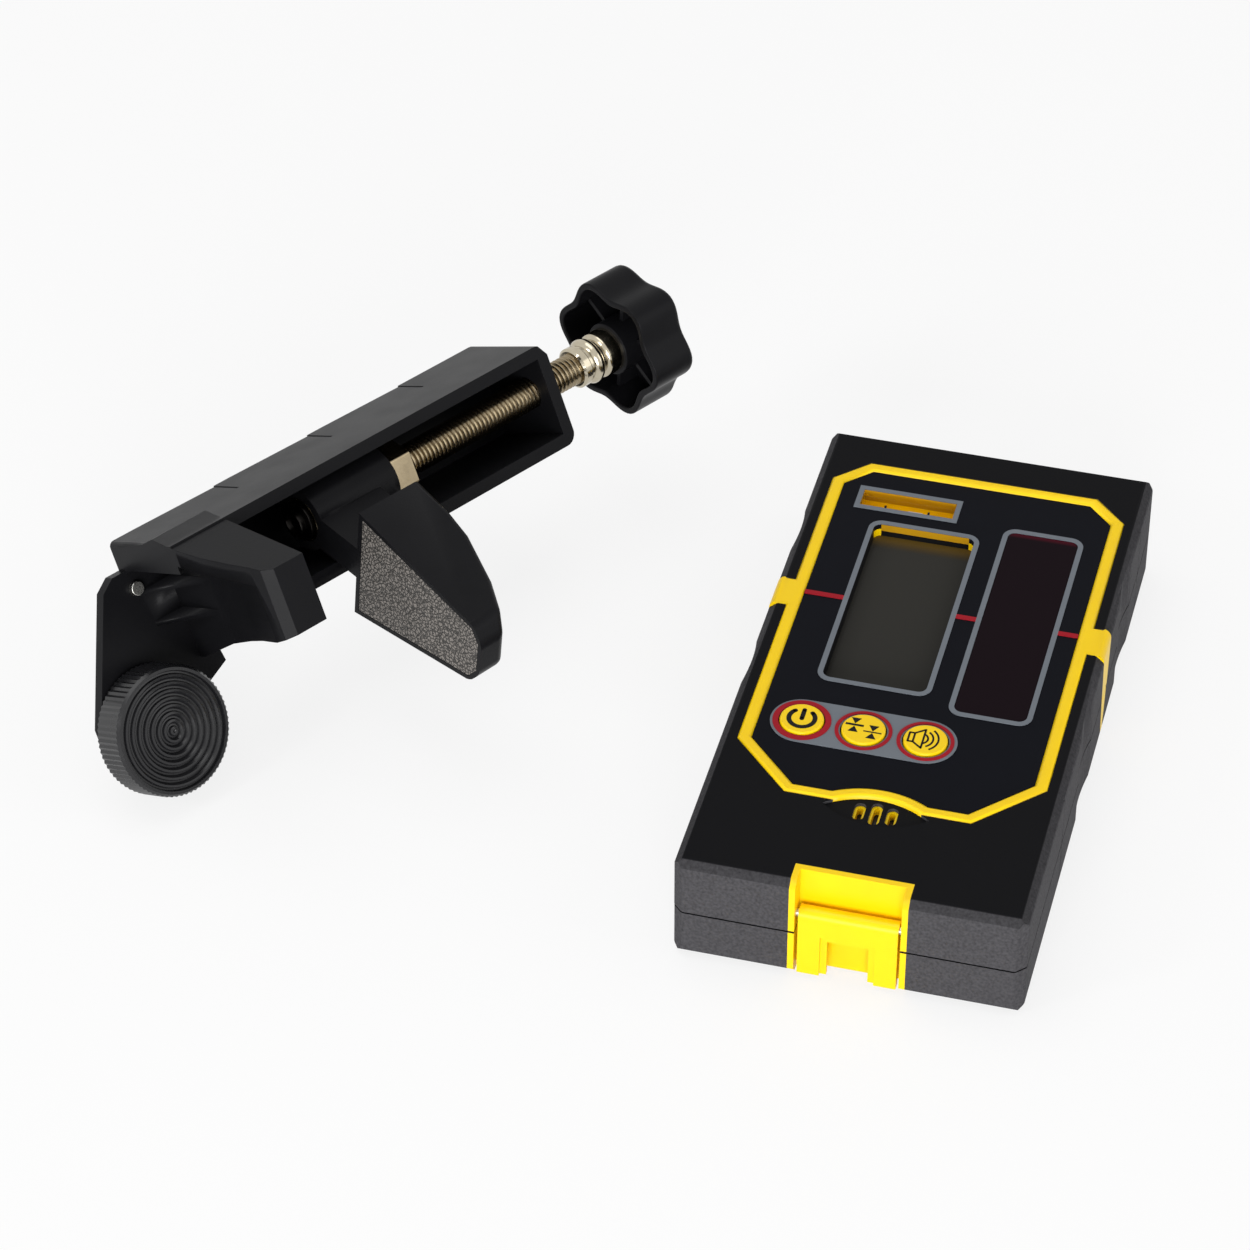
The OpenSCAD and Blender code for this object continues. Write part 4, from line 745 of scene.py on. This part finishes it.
@dataclass(frozen=True)
class Clamp:
    """The rod clamp: channel with fixed jaw and plate, moving jaw, lead screw, knob and thumbwheel."""

    wheel: tuple[float, float, float] = (-8.5, -23.1, 43.5)
    axis: tuple[float, float] = (-8.0, 12.0)
    channel_l: float = 116.0
    channel_d: float = 26.5
    channel_w: float = 26.0
    wall: float = 3.2
    neck_t: float = 8.8
    run_gap: float = 0.3
    grip_x: float = 16.0
    jaw_at: float = 40.0
    jaw_run: tuple[float, float] = (-7.0, 27.0)
    jaw_levels: tuple[tuple[float, float], ...] = ((-1.5, 8.0), (30.0, 24.5))
    core_r: float = 3.45
    screw_r: float = 4.0
    pitch: float = 1.25
    tip_x: float = 37.2
    thread_x: float = 70.8
    ferrule_x: float = 127.0
    ferrule_l: float = 12.0
    ferrule_rings: tuple[tuple[float, float], ...] = (
        (4.6, 0.0), (5.2, 0.5), (5.2, 2.2), (4.7, 2.7), (4.7, 3.5), (5.4, 3.9), (5.8, 4.6), (5.8, 5.5), (5.4, 6.2),
        (4.7, 6.6), (4.7, 7.3), (5.5, 7.7), (5.8, 8.3), (5.8, 12.0))
    knob_h: float = 13.0
    wheel_r: float = 15.5
    wheel_t: float = 9.5
    knurls: int = 72
    rings: int = 8
    stud_r: float = 3.075
    shoulder_r: float = 3.425
    stud_out: float = 7.0
    stud_pitch: float = 1.27

    def bench(self) -> Bench:
        """Bench with X along the channel, Y out of its open side and Z down its plate."""
        joints = {j["name"]: j for j in frame["joints"]}
        along, out = (Vector(joints[n]["axis"]).normalized() for n in ("jaw_slide", "thumb_spin"))
        turn = Matrix((along, out, along.cross(out))).transposed().to_4x4()
        place = Matrix.Translation(Vector(joints["thumb_spin"]["pos_m"]))
        return Bench(place @ turn @ Matrix.Scale(MM, 4) @ Matrix.Translation(-Vector(self.wheel)))

    def screw_bench(self) -> Bench:
        """Bench with Z along the lead screw."""
        return Bench(self.bench().to_row @ Matrix.Translation((0, *self.axis))
                     @ Matrix.Rotation(math.pi / 2, 4, "Y"))

    def wheel_bench(self) -> Bench:
        """Bench with Z out of the thumbwheel's face."""
        return Bench(self.bench().to_row @ Matrix.Translation(self.wheel) @ Matrix.Rotation(-math.pi / 2, 4, "X"))

    def jaw_bench(self) -> Bench:
        """Bench that hangs with the moving jaw: Y runs out to its tip."""
        lip = Vector((-self.axis[0], self.channel_w - self.wall - self.axis[1]))
        hang = math.atan2(lip.y, lip.x) - math.asin((self.neck_t / 2 + self.run_gap) / lip.length)
        return Bench(self.bench().to_row @ Matrix.Translation((0, *self.axis)) @ Matrix.Rotation(hang, 4, "X"))

    def build(self) -> None:
        """Makes every visible piece of the clamp."""
        self.build_frame()
        self.build_jaw()
        self.build_screw()
        self.build_knob()
        self.build_wheel()

    def build_frame(self) -> None:
        """Makes the channel with the fixed jaw and the plate, its pad and its pin."""
        bench = self.bench()
        far = Rounding(3.2, lambda mid, run: mid.x > self.channel_l - 0.1 and run.y > 15
                       and min(mid.z, self.channel_w - mid.z) < 0.1, 6)
        near = Rounding(2.0, lambda mid, run: mid.x < 0.1 and run.y > 10 and mid.z < 0.1, 4)
        jaw = Rounding(1.5, self.jaw_ridge, 5, 15)
        face = Rounding(0.6, lambda mid, run: abs(mid.x - self.grip_x) < 0.1 and mid.y > 1 and run.length > 3)
        rim = Rounding(0.5, lambda mid, run: mid.x > self.grip_x + 0.5 and mid.y > -1 and run.length > 4)
        back = Rounding(0.7, lambda mid, run: mid.y < -self.channel_d + 1.5 and run.length > 3
                        and mid.z < self.channel_w + 0.1)
        bench.place("channel", bench.copy("clamp_frame", far, near, jaw, face, rim, back), "clamp", Look.CLAMP,
                    ["clamp_frame"])
        any_edge = Rounding(0.25, lambda mid, run: True, 2)
        bench.place("fixed_grip", bench.copy("fixed_pad", any_edge), "clamp", Look.GRIP, ["fixed_pad"])
        bench.place("locating_pin_turned", bench.copy("locating_pin", any_edge), "clamp", Look.STEEL,
                    ["locating_pin"])

    def jaw_ridge(self, mid: Vector, run: Vector) -> bool:
        """Tells whether an edge bounds the fixed jaw's top, underside or tip, away from its gripping face."""
        root, end = self.jaw_run
        share = (mid.y - root) / (end - root)
        level = [abs(mid.z - a - share * (b - a)) < 0.15 for a, b in self.jaw_levels]
        tip = mid.y > end - 3 and run.z > 6
        return mid.x < self.grip_x - 0.2 and mid.y > root + 2 and run.length > 2 and (any(level) or tip)

    def build_jaw(self) -> None:
        """Makes the moving jaw, its grip pad and the bush that it swings on."""
        bench = self.jaw_bench()
        body = Rounding(1.6, lambda mid, run: mid.y > 20 and mid.x > self.jaw_at + 2 and run.length > 2.5, 5)
        rim = Rounding(0.5, lambda mid, run: mid.y > 20 and abs(mid.x - self.jaw_at) < 0.1 and run.length > 2)
        bm = bench.copy("moving_jaw")
        bmesh.ops.remove_doubles(bm, verts=[v for v in bm.verts if v.co.y > 50], dist=0.7)
        for rounding in (body, rim):
            rounding.cut(bm)
        bench.place("moving_jaw_soft", bm, "jaw", Look.CLAMP, ["moving_jaw"])
        edge = Rounding(0.25, lambda mid, run: True, 2)
        bench.place("jaw_grip", bench.copy("jaw_pad", edge), "jaw", Look.GRIP, ["jaw_pad"])
        bench = self.screw_bench()
        collar = Rounding(0.35, lambda mid, run: True, 2)
        bench.place("bush_turned", bench.copy("jaw_bush", collar), "bush", Look.THREAD, ["jaw_bush"])

    def build_screw(self) -> None:
        """Winds the lead screw, and turns its journal and the ringed ferrule."""
        bench = self.screw_bench()
        bm = bmesh.new()
        helix(bm, self.core_r, self.screw_r, self.pitch, self.thread_x, self.ferrule_x + 0.4)
        bench.place("lead_screw_thread", bm, "screw", Look.THREAD, ["lead_screw"])
        bm = bmesh.new()
        r, z = self.core_r, self.tip_x
        lathe(bm, [(0, z + 1.2), (r - 1.4, z + 1.2), (r - 1.0, z), (r - 0.3, z), (r, z + 0.4),
                   (r, self.thread_x + 0.2), (0, self.thread_x + 0.2)])
        bench.place("screw_journal", bm, "screw", Look.OXIDE)
        ring = Rounding(0.2, lambda mid, run: True, 2)
        bench.place("jaw_clip_dark", bench.copy("jaw_clip", ring), "screw", Look.OXIDE, ["jaw_clip"])
        bench.place("wall_nut_dark", bench.copy("wall_nut"), "clamp", Look.CLAMP, ["wall_nut"])
        bm = bmesh.new()
        z = self.ferrule_x
        lathe(bm, [(0, z), *((r, z + up) for r, up in self.ferrule_rings), (0, z + self.ferrule_l)])
        bench.place("ferrule_turned", bm, "screw", Look.NICKEL, ["ferrule"])

    def build_knob(self) -> None:
        """Makes the star knob with its rim and back rounded."""
        bench = self.screw_bench()
        low = self.ferrule_x + self.ferrule_l
        back = Rounding(1.6, lambda mid, run: mid.z > low + self.knob_h - 0.1, 4)
        rim = Rounding(0.4, lambda mid, run: mid.z < low + 0.1 and run.z < 0.01)
        bench.place("star_knob_soft", bench.copy("star_knob", back, rim), "screw", Look.CLAMP, ["star_knob"])

    def build_wheel(self) -> None:
        """Turns the thumbwheel with rings in its face and a knurled rim, and winds its stud."""
        bench = self.wheel_bench()
        top, r = self.wheel_t, self.wheel_r
        bm = bmesh.new()
        step = (r - 1.6) / self.rings
        profile = [(0, 0), (r - 0.9, 0), (r, 0.7), (r, top - 0.7), (r - 0.7, top), (r - 1.4, top)]
        for i in range(self.rings, 0, -1):
            profile += [(i * step - 0.12, top - 0.75), (i * step - 0.5, top - 0.72),
                        (i * step - 0.75, top - 0.15), (i * step - step / 2 - 0.4, top),
                        (i * step - step + 0.35, top - 0.15)]
        profile += [(0, top - 0.3)]
        lathe(bm, profile, 2 * self.knurls)
        turn = math.tau / (2 * self.knurls)
        valleys = [v for v in bm.verts if v.co.xy.length > r - 0.02
                   and round(math.atan2(v.co.y, v.co.x) / turn) % 2]
        bmesh.ops.scale(bm, verts=valleys, vec=((r - 0.3) / r, (r - 0.3) / r, 1))
        bench.place("thumbwheel_turned", bm, "thumb", Look.WHEEL, ["thumbwheel"])
        bm = bmesh.new()
        low = -(self.wheel[1] + self.channel_d)
        helix(bm, self.stud_r - 0.55, self.stud_r, self.stud_pitch, low - self.stud_out, low)
        lathe(bm, [(0, low), (self.shoulder_r, low), (self.shoulder_r, top / 2), (0, top / 2)], 48)
        bench.place("thumb_stud_thread", bm, "thumb", Look.STEEL, ["thumb_stud"])


@dataclass(frozen=True)
class Softbox:
    """One large soft lamp, aimed at the object."""

    name: str
    spot: tuple[float, float, float]
    size: float
    watts: float

    def build(self, target: Vector) -> None:
        """Hangs the lamp and turns it to the target."""
        lamp = bpy.data.lights.new(self.name, "AREA")
        lamp.shape, lamp.size, lamp.energy = "SQUARE", self.size, self.watts
        hung = bpy.data.objects.new(self.name, lamp)
        hung.location = self.spot
        hung.rotation_euler = (target - hung.location).to_track_quat("-Z", "Y").to_euler()
        bpy.context.scene.collection.objects.link(hung)


@dataclass(frozen=True)
class Studio:
    """Pale floor, white surroundings, soft lamps and the photograph's camera."""

    eye_mm: tuple[float, float, float] = (140.89, -799.73, 725.48)
    aim: tuple[float, float, float] = (-0.19614, 0.73701, -0.64680)
    roll_deg: float = -0.18
    lens: float = 132.74
    fill: float = 0.42
    glow: float = 0.8
    target_mm: tuple[float, float, float] = (-75.0, 0.0, 15.0)
    boxes: tuple[Softbox, ...] = (Softbox("front_softbox", (0.2, -1.6, 0.35), 0.9, 26.0),
                                  Softbox("right_softbox", (1.4, 0.1, 0.8), 1.0, 3.5),
                                  Softbox("left_strip", (-1.1, -1.0, 0.9), 0.3, 3.5),
                                  Softbox("overhead_softbox", (-0.5, 0.2, 1.9), 1.4, 9.5))

    def build(self) -> None:
        """Sets the floor, the surroundings, the lamps and the camera."""
        scene = bpy.context.scene
        scene.view_settings.view_transform = "Standard"
        self.surroundings(scene)
        self.floor()
        for box in self.boxes:
            box.build(Vector(self.target_mm) * MM)
        camera = bpy.data.cameras.new("camera")
        camera.lens, camera.sensor_width, camera.clip_end = self.lens, 36.0, 20.0
        eye = bpy.data.objects.new("camera", camera)
        turn = Vector(self.aim).to_track_quat("-Z", "Y").to_matrix().to_4x4()
        turn = turn @ Matrix.Rotation(math.radians(self.roll_deg), 4, "Z")
        eye.matrix_world = Matrix.Translation(Vector(self.eye_mm) * MM) @ turn
        scene.collection.objects.link(eye)
        scene.camera = eye

    def shown(self, tree: bpy.types.NodeTree) -> bpy.types.NodeSocket:
        """Gives one for the rays that show the background: to the camera, in a reflection or through glass."""
        path = add(tree, "LightPath")
        seen = add(tree, "Math", {0: path.outputs["Is Camera Ray"], 1: path.outputs["Is Glossy Ray"]},
                   operation="MAXIMUM")
        return add(tree, "Math", {0: seen.outputs[0], 1: path.outputs["Is Transmission Ray"]},
                   operation="MAXIMUM").outputs[0]

    def surroundings(self, scene: bpy.types.Scene) -> None:
        """Fills the world with white that lights the object only softly."""
        scene.world = bpy.data.worlds.new("studio_white")
        scene.world.use_nodes = True
        tree = scene.world.node_tree
        tree.nodes.clear()
        dim = add(tree, "Background", values={"Color": (1, 1, 1, 1), "Strength": self.fill})
        white = add(tree, "Background", values={"Color": (1, 1, 1, 1), "Strength": 1.0})
        both = add(tree, "MixShader", {0: self.shown(tree), 1: dim.outputs[0], 2: white.outputs[0]})
        add(tree, "OutputWorld", {"Surface": both.outputs[0]})

    def floor(self) -> None:
        """Lays the pale floor, lifted to white where it is seen and still shaded by the object."""
        bm = bmesh.new()
        bmesh.ops.create_grid(bm, x_segments=1, y_segments=1, size=4.0)
        mesh = bpy.data.meshes.new("floor")
        bm.to_mesh(mesh)
        bm.free()
        plane = bpy.data.objects.new("floor", mesh)
        plane.location.z = -0.0004
        bpy.context.scene.collection.objects.link(plane)
        material = bpy.data.materials.new("pale_paper_sweep")
        material.use_nodes = True
        tree = material.node_tree
        tree.nodes.clear()
        paper = add(tree, "BsdfDiffuse", values={"Color": linear("#f4f4f4")})
        glow = add(tree, "Emission", values={"Color": (1, 1, 1, 1), "Strength": 1.0})
        share = add(tree, "Math", {0: self.shown(tree)}, {1: self.glow}, operation="MULTIPLY")
        both = add(tree, "MixShader", {0: share.outputs[0], 1: paper.outputs[0], 2: glow.outputs[0]})
        add(tree, "OutputMaterial", {"Surface": both.outputs[0]})
        mesh.materials.append(material)


def dress_solids() -> None:
    """Gives every CAD node the finish of its slot in the record."""
    looks: dict[str, Look] = {}
    for look in Look:
        looks.setdefault(look.slot, look)
    for part in frame["record"]["subparts"]:
        mesh = frame["nodes"][part["node"]].data
        mesh.materials.clear()
        mesh.materials.append(looks[part["material_slot"]].material())


def main() -> None:
    """Dresses the solids and builds the pieces and the studio."""
    logging.basicConfig(level=logging.INFO, format="%(name)s: %(message)s")
    dress_solids()
    for assembly in (Housing(), Keys(), Windows(), Vial(), Clamp(), Studio()):
        assembly.build()


if __name__ == "__main__":
    main()
